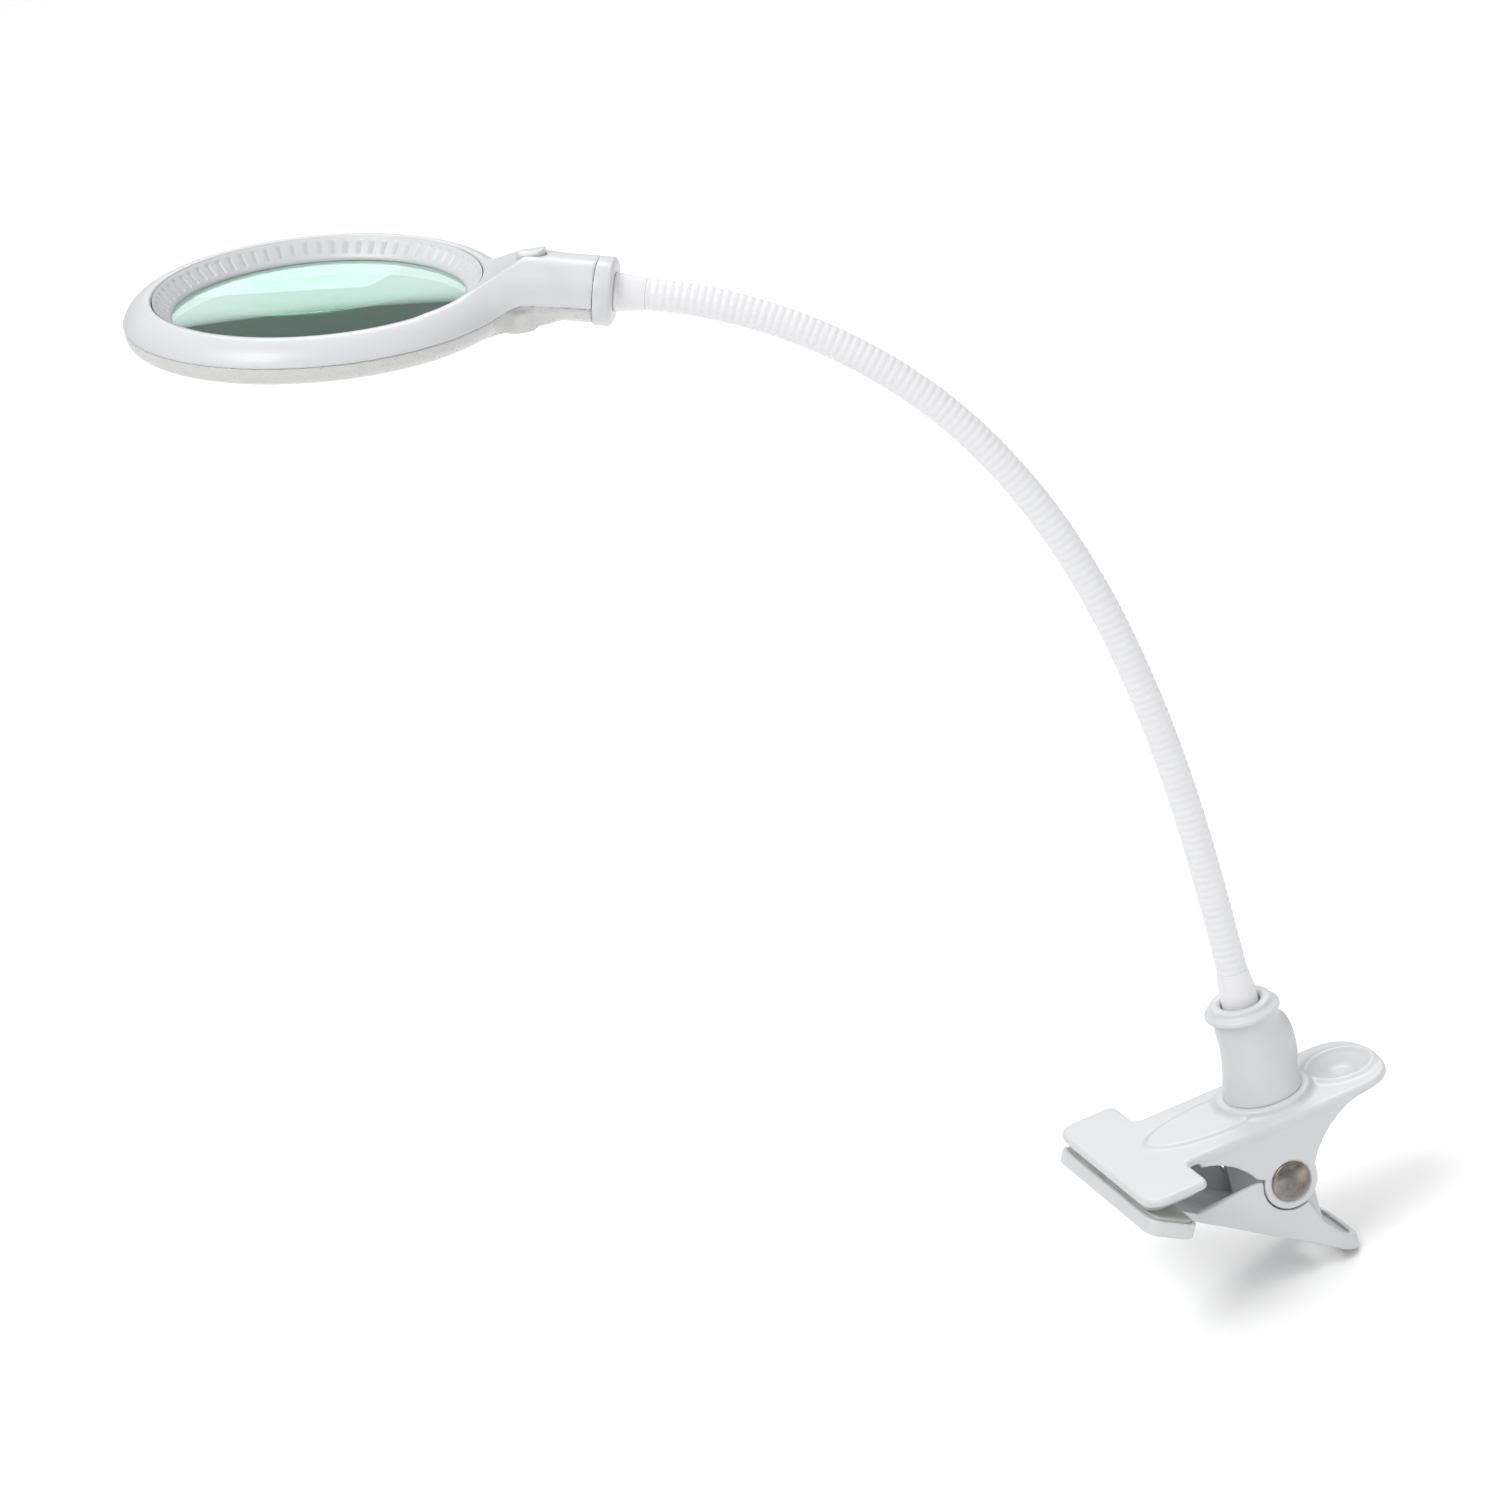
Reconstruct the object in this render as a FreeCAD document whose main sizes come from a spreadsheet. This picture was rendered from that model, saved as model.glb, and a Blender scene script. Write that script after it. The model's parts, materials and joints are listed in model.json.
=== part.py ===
"""Clip-on magnifying lamp: spring clamp, post, gooseneck and a ring-lit magnifier head.

Row frame, millimetres: the origin is the centre of the upper jaw pad's gripping face, +Z points
up along the post, and the jaw and the head lie towards -X.
"""

import FreeCAD
import Part
import Sketcher
import math
import operator
import os

V = FreeCAD.Vector
AXES = {"X": V(1, 0, 0), "Y": V(0, 1, 0), "Z": V(0, 0, 1), "-Z": V(0, 0, -1), "-X": V(-1, 0, 0)}

CLAMP_SIZES = {
    "jaw_width": 73.0,
    "jaw_depth": 21.7,
    "jaw_overhang": 10.7,
    "jaw_corner": 8.0,
    "jaw_inner_corner": 3.0,
    "plate_thick": 2.9,
    "body_width": 39.0,
    "post_setback": 50.0,
    "paddle_reach": 41.0,
    "paddle_corner": 14.0,
    "dish_radius": 60.0,
    "dish_depth": 1.6,
    "dish_setback": 27.5,
    "pad_thick": 2.2,
    "pad_rim": 1.2,
    "pad_margin": 3.5,
    "pad_corner": 5.0,
    "ear_wall": 2.3,
    "ear_disc": 9.6,
    "ear_front": 33.7,
    "ear_front_drop": 4.6,
    "ear_cusp": 16.4,
    "ear_cusp_drop": 16.7,
    "ear_front_arc": 26.0,
    "ear_rear": 31.8,
    "ear_rear_arc": 32.0,
    "ear_waist": 4.4,
    "ear_waist_drop": 18.3,
    "pivot_ahead": 5.2,
    "pivot_drop": 22.2,
    "pin_radius": 2.5,
    "pin_play": 0.05,
    "cap_radius": 6.8,
    "cap_dome": 1.9,
    "cap_gap": 0.5,
    "cap_recess_depth": 0.6,
    "boss_radius": 15.8,
    "boss_height": 3.05,
    "screw_offset": 6.0,
    "screw_radius": 1.3,
    "screw_head": 2.6,
    "screw_head_depth": 1.6,
    "screw_length": 12.0,
    "lead_passage": 3.0,
}
LOWER_SIZES = {
    "shell_gap": 0.35,
    "notch_gap": 0.5,
    "lower_wall": 2.2,
    "floor_front": 39.4,
    "floor_front_drop": 22.6,
    "floor_tail": 13.8,
    "floor_tail_drop": 58.0,
    "side_top_drop": 19.4,
    "side_cusp_drop": 18.2,
    "tail_tip": 16.8,
    "tail_tip_drop": 55.3,
    "tail_top_ahead": 0.7,
    "tail_top_drop": 32.7,
    "tail_corner": 15.0,
    "loop_front": 2.5,
    "loop_rear": 10.5,
    "loop_width": 24.0,
    "inner_ear_disc": 8.4,
    "tray_slope": 29.4,
    "tray_lead": 13.3,
    "tray_drop": 4.9,
    "tray_length": 18.0,
    "tray_height": 5.0,
    "tray_rim": 1.6,
    "tray_floor": 2.2,
    "lower_pad_proud": 1.0,
    "spring_wire": 0.8,
    "spring_radius": 4.3,
    "spring_pitch": 2.1,
    "spring_turns": 7,
}
POST_SIZES = {
    "post_base_radius": 13.43,
    "post_waist_radius": 10.2,
    "post_waist_height": 19.0,
    "post_flare_arc": 62.0,
    "post_top_radius": 10.7,
    "post_height": 29.1,
    "post_wall": 2.0,
    "seat_height": 19.0,
    "seat_thick": 2.0,
    "seat_hole": 3.2,
    "collar_overhang": 1.76,
    "collar_lip": 1.3,
    "collar_shoulder": 10.0,
    "collar_step": 1.4,
    "collar_round": 3.2,
    "collar_taper": 0.6,
    "collar_height": 4.3,
    "collar_gap": 0.59,
    "collar_spigot": 3.0,
    "ferrule_radius": 6.05,
    "flange_play": 0.1,
    "ferrule_bore": 2.2,
    "ferrule_taper": 9.0,
    "neck_start": 46.0,
    "jack_height": 16.5,
    "jack_boss_wall": 2.0,
    "jack_boss_reach": 13.6,
    "jack_radius": 4.4,
    "jack_length": 10.6,
    "jack_bore": 2.8,
    "jack_depth": 9.5,
}
NECK_SIZES = {
    "neck_heading": 28.0,
    "neck_segment": 39.0,
    "neck_turn_1": 1.6,
    "neck_turn_2": 3.9,
    "neck_turn_3": 5.1,
    "neck_turn_4": 8.0,
    "neck_turn_5": 11.4,
    "neck_turn_6": 14.6,
    "neck_turn_7": 13.4,
    "neck_turn_8": 14.0,
    "sleeve_radius": 5.0,
    "sleeve_bore": 3.6,
    "core_bore": 2.2,
    "lead_radius": 1.4,
    "ball_radius": 4.4,
    "cup_play": 0.15,
    "ball_nose": 2.2,
    "ball_bore": 2.6,
    "ball_mouth": 1.0,
    "sleeve_set_back": 1.5,
    "sleeve_lip": 0.2,
    "lead_gap": 0.8,
}
HEAD_SIZES = {
    "head_ferrule_length": 11.4,
    "head_ferrule_radius": 5.9,
    "head_flange_radius": 6.3,
    "head_flange_thick": 0.9,
    "head_tang": 4.6,
    "head_tang_radius": 4.2,
    "handle_droop": 6.6,
    "handle_stand_off": 32.3,
    "handle_lift": 1.6,
    "handle_half_width": 12.0,
    "handle_half_height": 10.2,
    "handle_wall": 1.6,
    "handle_length": 36.0,
    "handle_nose_slope": 45.0,
    "handle_split_drop": 2.6,
    "cover_inset": 1.2,
    "end_cap_length": 5.6,
    "lens_overlap": 2.3,
    "lens_edge": 2.2,
    "lens_sag": 3.4,
    "lens_lip": 0.8,
    "lens_seat": 0.3,
    "lens_play": 0.15,
    "lens_rim_gap": 0.1,
    "aperture": 46.1,
    "bezel_width": 5.5,
    "bezel_rise": 6.4,
    "bezel_wall": 1.3,
    "cover_width": 9.5,
    "bezel_gap": 0.4,
    "cover_top": 6.7,
    "cover_wall": 1.8,
    "cover_crown_arc": 12.0,
    "parting": 0.5,
    "diffuser_depth": 6.7,
    "diffuser_corner": 4.5,
    "diffuser_wall": 1.3,
    "diffuser_step": 0.4,
    "diffuser_relief": 0.5,
    "flare_beyond": 2.5,
    "flare_half_width": 34.0,
    "flare_tail": 8.0,
    "flare_fillet": 2.0,
    "flare_top": 5.4,
    "board_overlap": 0.2,
    "board_width": 5.8,
    "board_margin": 0.2,
    "board_thick": 1.2,
    "board_drop": 0.9,
    "led_length": 3.5,
    "led_width": 2.8,
    "led_height": 1.0,
    "led_count": 40,
    "button_setback": 26.8,
    "button_length": 9.2,
    "button_width": 6.4,
    "button_rise": 2.2,
    "button_travel": 1.0,
    "button_play": 0.25,
    "button_flange": 1.2,
    "button_foot": 0.6,
    "button_gap": 1.0,
    "switch_size": 6.0,
    "switch_stem": 1.0,
    "switch_play": 0.1,
    "driver_length": 22.0,
    "driver_width": 13.0,
    "driver_thick": 1.2,
    "driver_rise": 0.6,
    "driver_setback": 5.0,
    "coil_radius": 3.0,
    "coil_height": 3.2,
    "capacitor_radius": 1.8,
    "capacitor_height": 4.0,
    "chip_side": 4.0,
    "chip_height": 1.4,
    "part_spacing": 4.5,
    "head_screw_radius": 1.2,
    "head_screw_head": 2.2,
    "head_screw_reach": 7.0,
    "head_screw_ahead": 1.0,
    "head_screw_side": 9.0,
}

doc = FreeCAD.newDocument("ClipMagnifierLamp")
sheet = doc.addObject("Spreadsheet::Sheet", "Sizes")


class Size:
    """A value together with the sheet expression that gives it, so sums of sizes stay bound."""

    def __init__(self, text, value):
        self.text, self.value = text, float(value)

    def __float__(self):
        return self.value

    def __add__(self, other):
        return combine(self, "+", other)

    def __radd__(self, other):
        return combine(other, "+", self)

    def __sub__(self, other):
        return combine(self, "-", other)

    def __rsub__(self, other):
        return combine(other, "-", self)

    def __mul__(self, other):
        return combine(self, "*", other)

    __rmul__ = __mul__

    def __truediv__(self, other):
        return combine(self, "/", other)

    def __neg__(self):
        return combine(0, "-", self)


# How far a cutting block runs past the face it cuts.
PAST = 5

OPERATIONS = {"+": operator.add, "-": operator.sub, "*": operator.mul, "/": operator.truediv}


def combine(first, sign, second):
    """Joins two sizes, or a size and a number, with one arithmetic sign."""
    words = [size.text if isinstance(size, Size) else f"({size})" for size in (first, second)]
    return Size(f"({words[0]} {sign} {words[1]})", OPERATIONS[sign](float(first), float(second)))


class Sizes:
    """Named sizes: each attribute is the Size of one sheet cell."""


def fill_sheet():
    """Writes every driving size to its own cell with its alias and returns them by name."""
    sizes = Sizes()
    row = 0
    for group in (CLAMP_SIZES, LOWER_SIZES, POST_SIZES, NECK_SIZES, HEAD_SIZES):
        for name, value in group.items():
            row += 1
            sheet.set(f"A{row}", name)
            sheet.set(f"B{row}", str(value))
            sheet.setAlias(f"B{row}", name)
            setattr(sizes, name, Size(f"Sizes.{name}", value))
    doc.recompute()
    return sizes


def follow(sizes):
    """Adds the sizes that follow from the driving ones: what fits, seats on or clears another piece."""
    sizes.pad_length = (sizes.jaw_overhang - sizes.pad_rim) * 2
    sizes.cap_recess = sizes.cap_radius + sizes.cap_gap
    sizes.post_room = sizes.post_waist_radius - sizes.post_wall
    sizes.collar_radius = sizes.post_top_radius + sizes.collar_overhang
    sizes.collar_hole = sizes.ferrule_radius + sizes.collar_gap
    sizes.ferrule_flange = sizes.post_room - sizes.flange_play
    sizes.jack_boss_radius = sizes.jack_radius + sizes.jack_boss_wall
    sizes.cup_radius = sizes.ball_radius + sizes.cup_play
    sizes.lens_radius = sizes.aperture + sizes.lens_overlap
    sizes.bezel_outer = sizes.aperture + sizes.bezel_width
    sizes.cover_inner = sizes.bezel_outer + sizes.bezel_gap
    sizes.cover_radius = sizes.cover_inner + sizes.cover_width
    sizes.board_inner = sizes.cover_inner - sizes.board_overlap
    sizes.board_outer = sizes.board_inner + sizes.board_width
    sizes.led_pitch_radius = (sizes.board_inner + sizes.board_outer) / 2
    sizes.flare_reach = sizes.cover_radius + sizes.flare_beyond
    sizes.handle_reach = sizes.cover_radius + sizes.handle_stand_off
    sizes.button_base = sizes.handle_half_height - sizes.handle_wall - sizes.button_gap - sizes.button_flange
    switch_top = sizes.button_base - sizes.button_travel - sizes.switch_play
    sizes.switch_height = switch_top - sizes.driver_rise - sizes.driver_thick
    return sizes


s = follow(fill_sheet())


# ---- building blocks -------------------------------------------------------------------------


def bind(obj, **sizes):
    """Sets properties of an object, as expressions where the value is a Size."""
    for name, size in sizes.items():
        if isinstance(size, Size):
            obj.setExpression(name, size.text)
        else:
            setattr(obj, name, size)
    return obj


def place(obj, x=0, y=0, z=0, rotation=None):
    """Places an object at (x, y, z), binding each coordinate that is a Size."""
    rotation = rotation or FreeCAD.Rotation()
    obj.Placement = FreeCAD.Placement(V(float(x), float(y), float(z)), rotation)
    for name, size in (("x", x), ("y", y), ("z", z)):
        if isinstance(size, Size):
            obj.setExpression(f"Placement.Base.{name}", size.text)
    return obj


def aim(direction):
    """The rotation that turns +Z into the named axis."""
    return FreeCAD.Rotation(AXES["Z"], AXES[direction])


def box(name, x, y, z):
    """A box from three (low, high) pairs."""
    obj = doc.addObject("Part::Box", name)
    spans = [high - low for low, high in (x, y, z)]
    bind(obj, Length=spans[0], Width=spans[1], Height=spans[2])
    return place(obj, x[0], y[0], z[0])


def cylinder(name, radius, height, at=(0, 0, 0), along="Z"):
    obj = bind(doc.addObject("Part::Cylinder", name), Radius=radius, Height=height)
    return place(obj, *at, rotation=aim(along))


def cone(name, low_radius, high_radius, height, at=(0, 0, 0), along="Z"):
    obj = bind(doc.addObject("Part::Cone", name), Radius1=low_radius, Radius2=high_radius, Height=height)
    return place(obj, *at, rotation=aim(along))


def fuse(name, *shapes):
    obj = doc.addObject("Part::MultiFuse", name)
    obj.Shapes = list(shapes)
    return obj


def cut(name, base, *tools):
    obj = doc.addObject("Part::Cut", name)
    obj.Base = base
    obj.Tool = tools[0] if len(tools) == 1 else fuse(name + "_tools", *tools)
    return obj


def common(name, first, second):
    obj = doc.addObject("Part::Common", name)
    obj.Base, obj.Tool = first, second
    return obj


def group(name, shapes):
    """Separate solids kept in one node."""
    obj = doc.addObject("Part::Compound", name)
    obj.Links = list(shapes)
    return obj


def framed(name, obj, frame):
    """A piece carried into another frame."""
    carried = group(name, [obj])
    carried.Placement = frame
    return carried


def arc_geometry(start, end, radius):
    """A circular arc between two points. A positive radius bulges to the right of start-to-end.

    Returns the arc and which of its two ends is the start point.
    """
    chord = end - start
    across = V(chord.y, -chord.x, 0).normalize()
    half = chord.Length / 2
    depth = math.sqrt(max(radius * radius - half * half, 0))
    centre = start + chord * 0.5 - across * math.copysign(depth, radius)
    first = math.atan2(start.y - centre.y, start.x - centre.x)
    last = math.atan2(end.y - centre.y, end.x - centre.x)
    circle = Part.Circle(centre, AXES["Z"], abs(radius))
    if radius > 0:
        return Part.ArcOfCircle(circle, first, last), (1, 2)
    return Part.ArcOfCircle(circle, last, first), (2, 1)


def draw(sketch, outline):
    """Draws a closed outline of (x, y) or (x, y, radius) corners.

    A radius makes the edge that arrives at that corner an arc. Every corner is held by its
    coordinates, and every coordinate or radius that is a Size is bound to the sheet.
    """
    points = [V(float(corner[0]), float(corner[1]), 0) for corner in outline]
    ends = []
    for i, corner in enumerate(outline):
        start, end = points[i - 1], points[i]
        if len(corner) == 3:
            edge, sides = arc_geometry(start, end, float(corner[2]))
            index = sketch.addGeometry(edge)
            radius = corner[2] if float(corner[2]) > 0 else -corner[2]
            hold(sketch, "Radius", (index,), radius)
        else:
            sides = (1, 2)
            index = sketch.addGeometry(Part.LineSegment(start, end))
        ends.append((index, sides))
    for i, corner in enumerate(outline):
        index, sides = ends[i]
        follower, follower_sides = ends[(i + 1) % len(ends)]
        sketch.addConstraint(Sketcher.Constraint("Coincident", index, sides[1], follower, follower_sides[0]))
        hold(sketch, "DistanceX", (-1, 1, index, sides[1]), corner[0])
        hold(sketch, "DistanceY", (-1, 1, index, sides[1]), corner[1])


def hold(sketch, kind, items, size):
    """Adds one dimension. A zero coordinate is held on the sketch axis instead."""
    if float(size) == 0 and not isinstance(size, Size):
        axis = -2 if kind == "DistanceX" else -1
        sketch.addConstraint(Sketcher.Constraint("PointOnObject", items[2], items[3], axis))
        return
    number = sketch.addConstraint(Sketcher.Constraint(kind, *items, float(size)))
    if isinstance(size, Size):
        sketch.setExpression(f"Constraints[{number}]", size.text)


def body_sketch(name, plane, outline):
    """A PartDesign body with one sketch on one of its own origin planes."""
    body = doc.addObject("PartDesign::Body", name)
    sketch = body.newObject("Sketcher::SketchObject", name + "_profile")
    base = [item for item in body.Origin.OriginFeatures if item.Role == plane][0]
    sketch.AttachmentSupport = [(base, "")]
    sketch.MapMode = "FlatFace"
    draw(sketch, outline)
    return body, sketch


def turned(name, outline, at=(0, 0, 0), along="Z"):
    """A turned piece: an outline of (radius, height) corners revolved about its own Z axis."""
    body, sketch = body_sketch(name, "XZ_Plane", outline)
    turn = body.newObject("PartDesign::Revolution", name + "_turn")
    turn.Profile = sketch
    turn.ReferenceAxis = (sketch, ["V_Axis"])
    turn.Angle = 360
    return place(body, *at, rotation=aim(along))


def slab(name, x, y, z, corner):
    """A plate with rounded corners, padded from a sketch: three (low, high) pairs and the radius."""
    (left, right), (near, far) = x, y
    outline = [
        (left + corner, near, corner),
        (right - corner, near),
        (right, near + corner, corner),
        (right, far - corner),
        (right - corner, far, corner),
        (left + corner, far),
        (left, far - corner, corner),
        (left, near + corner),
    ]
    body, sketch = body_sketch(name, "XY_Plane", outline)
    pad = body.newObject("PartDesign::Pad", name + "_pad")
    pad.Profile = sketch
    bind(pad, Length=z[1] - z[0])
    return place(body, 0, 0, z[0])


def side_profile(name, outline, width):
    """An outline in the XZ plane extruded equally to both sides of it."""
    sketch = doc.addObject("Sketcher::SketchObject", name + "_outline")
    draw(sketch, outline)
    sketch.Placement = FreeCAD.Placement(V(), FreeCAD.Rotation(AXES["X"], 90))
    return extruded(name, sketch, width, True)


def plan_profile(name, outline, low, high):
    """An outline in the XY plane extruded from one height to another."""
    sketch = doc.addObject("Sketcher::SketchObject", name + "_outline")
    draw(sketch, outline)
    place(sketch, 0, 0, low)
    return extruded(name, sketch, high - low, False)


def extruded(name, sketch, length, symmetric):
    solid = doc.addObject("Part::Extrusion", name)
    solid.Base = sketch
    solid.DirMode = "Normal"
    solid.Solid = True
    solid.Symmetric = symmetric
    return bind(solid, LengthFwd=length)


def mirrored_outline(half):
    """Closes an outline over the X axis: the half given runs on +Y from front to rear."""
    other = []
    for i in range(len(half) - 1, -1, -1):
        x, y = half[i][:2]
        arriving = half[i + 1] if i + 1 < len(half) else ()
        other.append((x, -y, arriving[2]) if len(arriving) == 3 else (x, -y))
    return half + other


# ---- shared places ---------------------------------------------------------------------------

plate_top = s.pad_thick + s.plate_thick
pivot_x = s.post_setback - s.pivot_ahead
pivot_z = plate_top - s.pivot_drop
body_side = s.body_width / 2
boss_top = plate_top + s.boss_height
TRAY = FreeCAD.Placement(
    V(-float(s.tray_lead), 0, -float(s.tray_drop)), FreeCAD.Rotation(AXES["Y"], float(s.tray_slope))
)


def ahead(distance):
    """The X of a point that lies a distance from the post axis towards the jaw."""
    return s.post_setback - distance


def below(drop):
    """The Z of a point that lies a drop under the clamp plate's top face."""
    return plate_top - drop


# ---- clamp -----------------------------------------------------------------------------------

# Where the ear's front edge meets its disc, as the cosine and sine of the angle there.
EAR_TANGENT = (0.9, 0.43)


def clip_upper_shell():
    """Upper clamp shell: T-shaped plate, thumb dish, post boss and two pivot ears."""
    jaw_side = s.jaw_width / 2
    front = -s.jaw_overhang
    rear = s.jaw_depth - s.jaw_overhang
    end = s.post_setback + s.paddle_reach
    corner, inner, tail = s.jaw_corner, s.jaw_inner_corner, s.paddle_corner
    half = [
        (front, jaw_side - corner),
        (front + corner, jaw_side, -corner),
        (rear - inner, jaw_side),
        (rear, jaw_side - inner, -inner),
        (rear, body_side + inner),
        (rear + inner, body_side, inner),
        (end - tail, body_side),
        (end, body_side - tail, -tail),
    ]
    plate = plan_profile("plate_blank", mirrored_outline(half), s.pad_thick, plate_top)
    boss = cylinder("post_boss", s.boss_radius, s.boss_height, (s.post_setback, 0, plate_top))
    ear_outline = [
        (ahead(s.ear_front), below(s.plate_thick)),
        (ahead(s.ear_front), below(s.ear_front_drop)),
        (ahead(s.ear_cusp), below(s.ear_cusp_drop), -s.ear_front_arc),
        (pivot_x - s.ear_disc * EAR_TANGENT[0], pivot_z + s.ear_disc * EAR_TANGENT[1]),
        (pivot_x + s.ear_disc, pivot_z),
        (ahead(-s.ear_waist), below(s.ear_waist_drop)),
        (ahead(-s.ear_rear), below(s.plate_thick), -s.ear_rear_arc),
    ]
    web = side_profile("ear_webs", ear_outline, s.body_width)
    disc = cylinder("ear_discs", s.ear_disc, s.body_width, (pivot_x, -body_side, pivot_z), "Y")
    inside = body_side - s.ear_wall
    hollow = box(
        "clamp_hollow",
        (ahead(s.ear_front + PAST), ahead(-s.ear_rear) + PAST),
        (-inside, inside),
        (pivot_z - s.ear_disc - 1, s.pad_thick),
    )
    ears = cut("ears", fuse("ears_solid", web, disc), hollow)
    recesses = [
        cylinder(
            "near_recess", s.cap_recess, s.cap_recess_depth + 1,
            (pivot_x, -body_side - 1, pivot_z), "Y",
        ),
        cylinder(
            "far_recess", s.cap_recess, s.cap_recess_depth + 1,
            (pivot_x, body_side - s.cap_recess_depth, pivot_z), "Y",
        ),
        cylinder("ear_bores", s.pin_radius, s.body_width + 2, (pivot_x, -body_side - 1, pivot_z), "Y"),
    ]
    dish = bind(doc.addObject("Part::Sphere", "thumb_dish"), Radius=s.dish_radius)
    place(dish, s.post_setback + s.dish_setback, 0, plate_top + s.dish_radius - s.dish_depth)
    lead_hole = cylinder("lead_hole", s.lead_passage, s.boss_height + s.plate_thick + 2,
                         (s.post_setback, 0, s.pad_thick - 1))
    holes = [dish, lead_hole]
    for side, offset in (("near", -s.screw_offset), ("far", s.screw_offset)):
        at = (s.post_setback, offset, s.pad_thick)
        holes.append(cylinder(f"{side}_screw_hole", s.screw_radius, s.boss_height + s.plate_thick, at))
        holes.append(cylinder(f"{side}_screw_seat", s.screw_head, s.screw_head_depth, at))
    solid = fuse("clip_upper_solid", plate, boss, ears)
    return cut("clip_upper_shell", solid, *recesses, *holes)


def upper_jaw_pad():
    half_length = s.pad_length / 2
    half_width = s.jaw_width / 2 - s.pad_margin
    return slab(
        "upper_jaw_pad", (-half_length, half_length), (-half_width, half_width), (0, s.pad_thick),
        s.pad_corner,
    )


def floor_line(distance, rise):
    """A corner on the lower shell's sloping floor, at a distance ahead of the post axis."""
    slope = (s.floor_tail_drop - s.floor_front_drop) / (s.floor_front + s.floor_tail)
    drop = s.floor_front_drop + (s.floor_front - distance) * slope
    return (ahead(distance), below(drop) + rise)


def clip_lower_shell():
    """Lower clamp shell: sloping floor, side walls round the ears, jaw tray and looped squeeze handle."""
    floor_rise = s.lower_wall * 1.2
    floor_outline = [
        floor_line(s.floor_front + s.tray_length / 2, 0),
        floor_line(-s.floor_tail, 0),
        (ahead(-s.tail_tip), below(s.tail_tip_drop)),
        floor_line(-s.floor_tail, floor_rise),
        floor_line(s.floor_front + s.tray_length / 2, floor_rise),
    ]
    floor = side_profile("lower_floor", floor_outline, s.body_width)
    wall_outline = [
        (ahead(s.floor_front), below(s.side_top_drop)),
        floor_line(s.floor_front, 0),
        floor_line(-s.floor_tail, 0),
        (ahead(-s.tail_tip), below(s.tail_tip_drop)),
        (ahead(s.tail_top_ahead), below(s.tail_top_drop)),
        (pivot_x, pivot_z),
        (ahead(s.ear_cusp), below(s.side_cusp_drop)),
    ]
    inside = body_side - s.ear_wall
    walls = side_profile("lower_walls_blank", wall_outline, s.body_width)
    room = box(
        "lower_room", (ahead(s.floor_front) - PAST, ahead(-s.tail_tip) + PAST), (-inside, inside),
        (below(s.floor_tail_drop) - PAST, below(s.side_cusp_drop) + PAST),
    )
    notch = cylinder(
        "ear_notch", s.ear_disc + s.notch_gap, s.body_width + 2, (pivot_x, -body_side - 1, pivot_z), "Y"
    )
    outer_walls = cut("lower_walls", walls, room, notch)
    ear_outer = inside - s.shell_gap
    ear_inner = ear_outer - s.lower_wall
    ear_outline = [
        (pivot_x - s.inner_ear_disc, pivot_z),
        floor_line(s.pivot_ahead + s.inner_ear_disc, 0.5),
        floor_line(s.pivot_ahead - s.inner_ear_disc, 0.5),
        (pivot_x + s.inner_ear_disc, pivot_z),
    ]
    inner_web = side_profile("inner_ear_webs", ear_outline, ear_outer * 2)
    inner_disc = cylinder(
        "inner_ear_discs", s.inner_ear_disc, ear_outer * 2, (pivot_x, -ear_outer, pivot_z), "Y"
    )
    inner_room = box(
        "inner_ear_room", (pivot_x - 20, pivot_x + 20), (-ear_inner, ear_inner),
        (pivot_z - 30, pivot_z + s.inner_ear_disc + 1),
    )
    inner_ears = cut("inner_ears", fuse("inner_ears_solid", inner_web, inner_disc), inner_room)
    end, corner = ahead(-s.tail_tip), s.tail_corner
    front = ahead(s.floor_front + s.tray_length)
    half = [
        (front, body_side + 1),
        (end - corner, body_side + 1),
        (end, body_side + 1 - corner, -corner),
    ]
    plan = plan_profile(
        "lower_plan", mirrored_outline(half), below(s.floor_tail_drop) - 1, below(s.side_cusp_drop) + 10
    )
    handle = common("lower_handle", fuse("lower_blank", floor, outer_walls, inner_ears), plan)
    loop = slab(
        "loop_hole", (ahead(-s.loop_front), ahead(-s.loop_rear)), (-s.loop_width / 2, s.loop_width / 2),
        (below(s.floor_tail_drop) - 2, below(s.tail_top_drop)), 3.5,
    )
    pin_hole = cylinder(
        "lower_pin_hole", s.pin_radius + s.pin_play, s.body_width, (pivot_x, -body_side, pivot_z), "Y"
    )
    jaw_side = s.jaw_width / 2
    tray = slab("tray_blank", (0, s.tray_length), (-jaw_side, jaw_side),
                (0, s.tray_height), s.pad_corner)
    pocket = tray_recess("tray_pocket", s.tray_height + 1)
    jaw = cut("lower_jaw", tray, pocket)
    jaw.Placement = TRAY
    clear = cut("lower_handle_open", handle, loop, pin_hole, tray_clearance())
    return fuse("clip_lower_shell", clear, jaw)


def tray_clearance():
    """Space over the jaw tray that the floor strip doesn't enter."""
    jaw_side = s.jaw_width / 2
    space = box(
        "tray_space", (s.tray_rim, s.tray_length - s.tray_rim), (-jaw_side, jaw_side),
        (s.tray_floor, s.tray_height + 10),
    )
    return framed("tray_clearance", space, TRAY)


def tray_recess(name, top):
    """The rounded block that fills the jaw tray inside its rim, up to a height over the tray's base."""
    half = s.jaw_width / 2 - s.tray_rim
    return slab(
        name, (s.tray_rim, s.tray_length - s.tray_rim), (-half, half), (s.tray_floor, top),
        s.pad_corner - s.tray_rim,
    )


def lower_jaw_pad():
    pad = tray_recess("lower_jaw_pad_blank", s.tray_height + s.lower_pad_proud)
    solid = fuse("lower_jaw_pad", pad, box(
        "lower_pad_core", (s.tray_rim * 2, s.tray_length / 2), (-s.tray_rim, s.tray_rim),
        (s.tray_floor, s.tray_height)))
    solid.Placement = TRAY
    return solid


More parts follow.
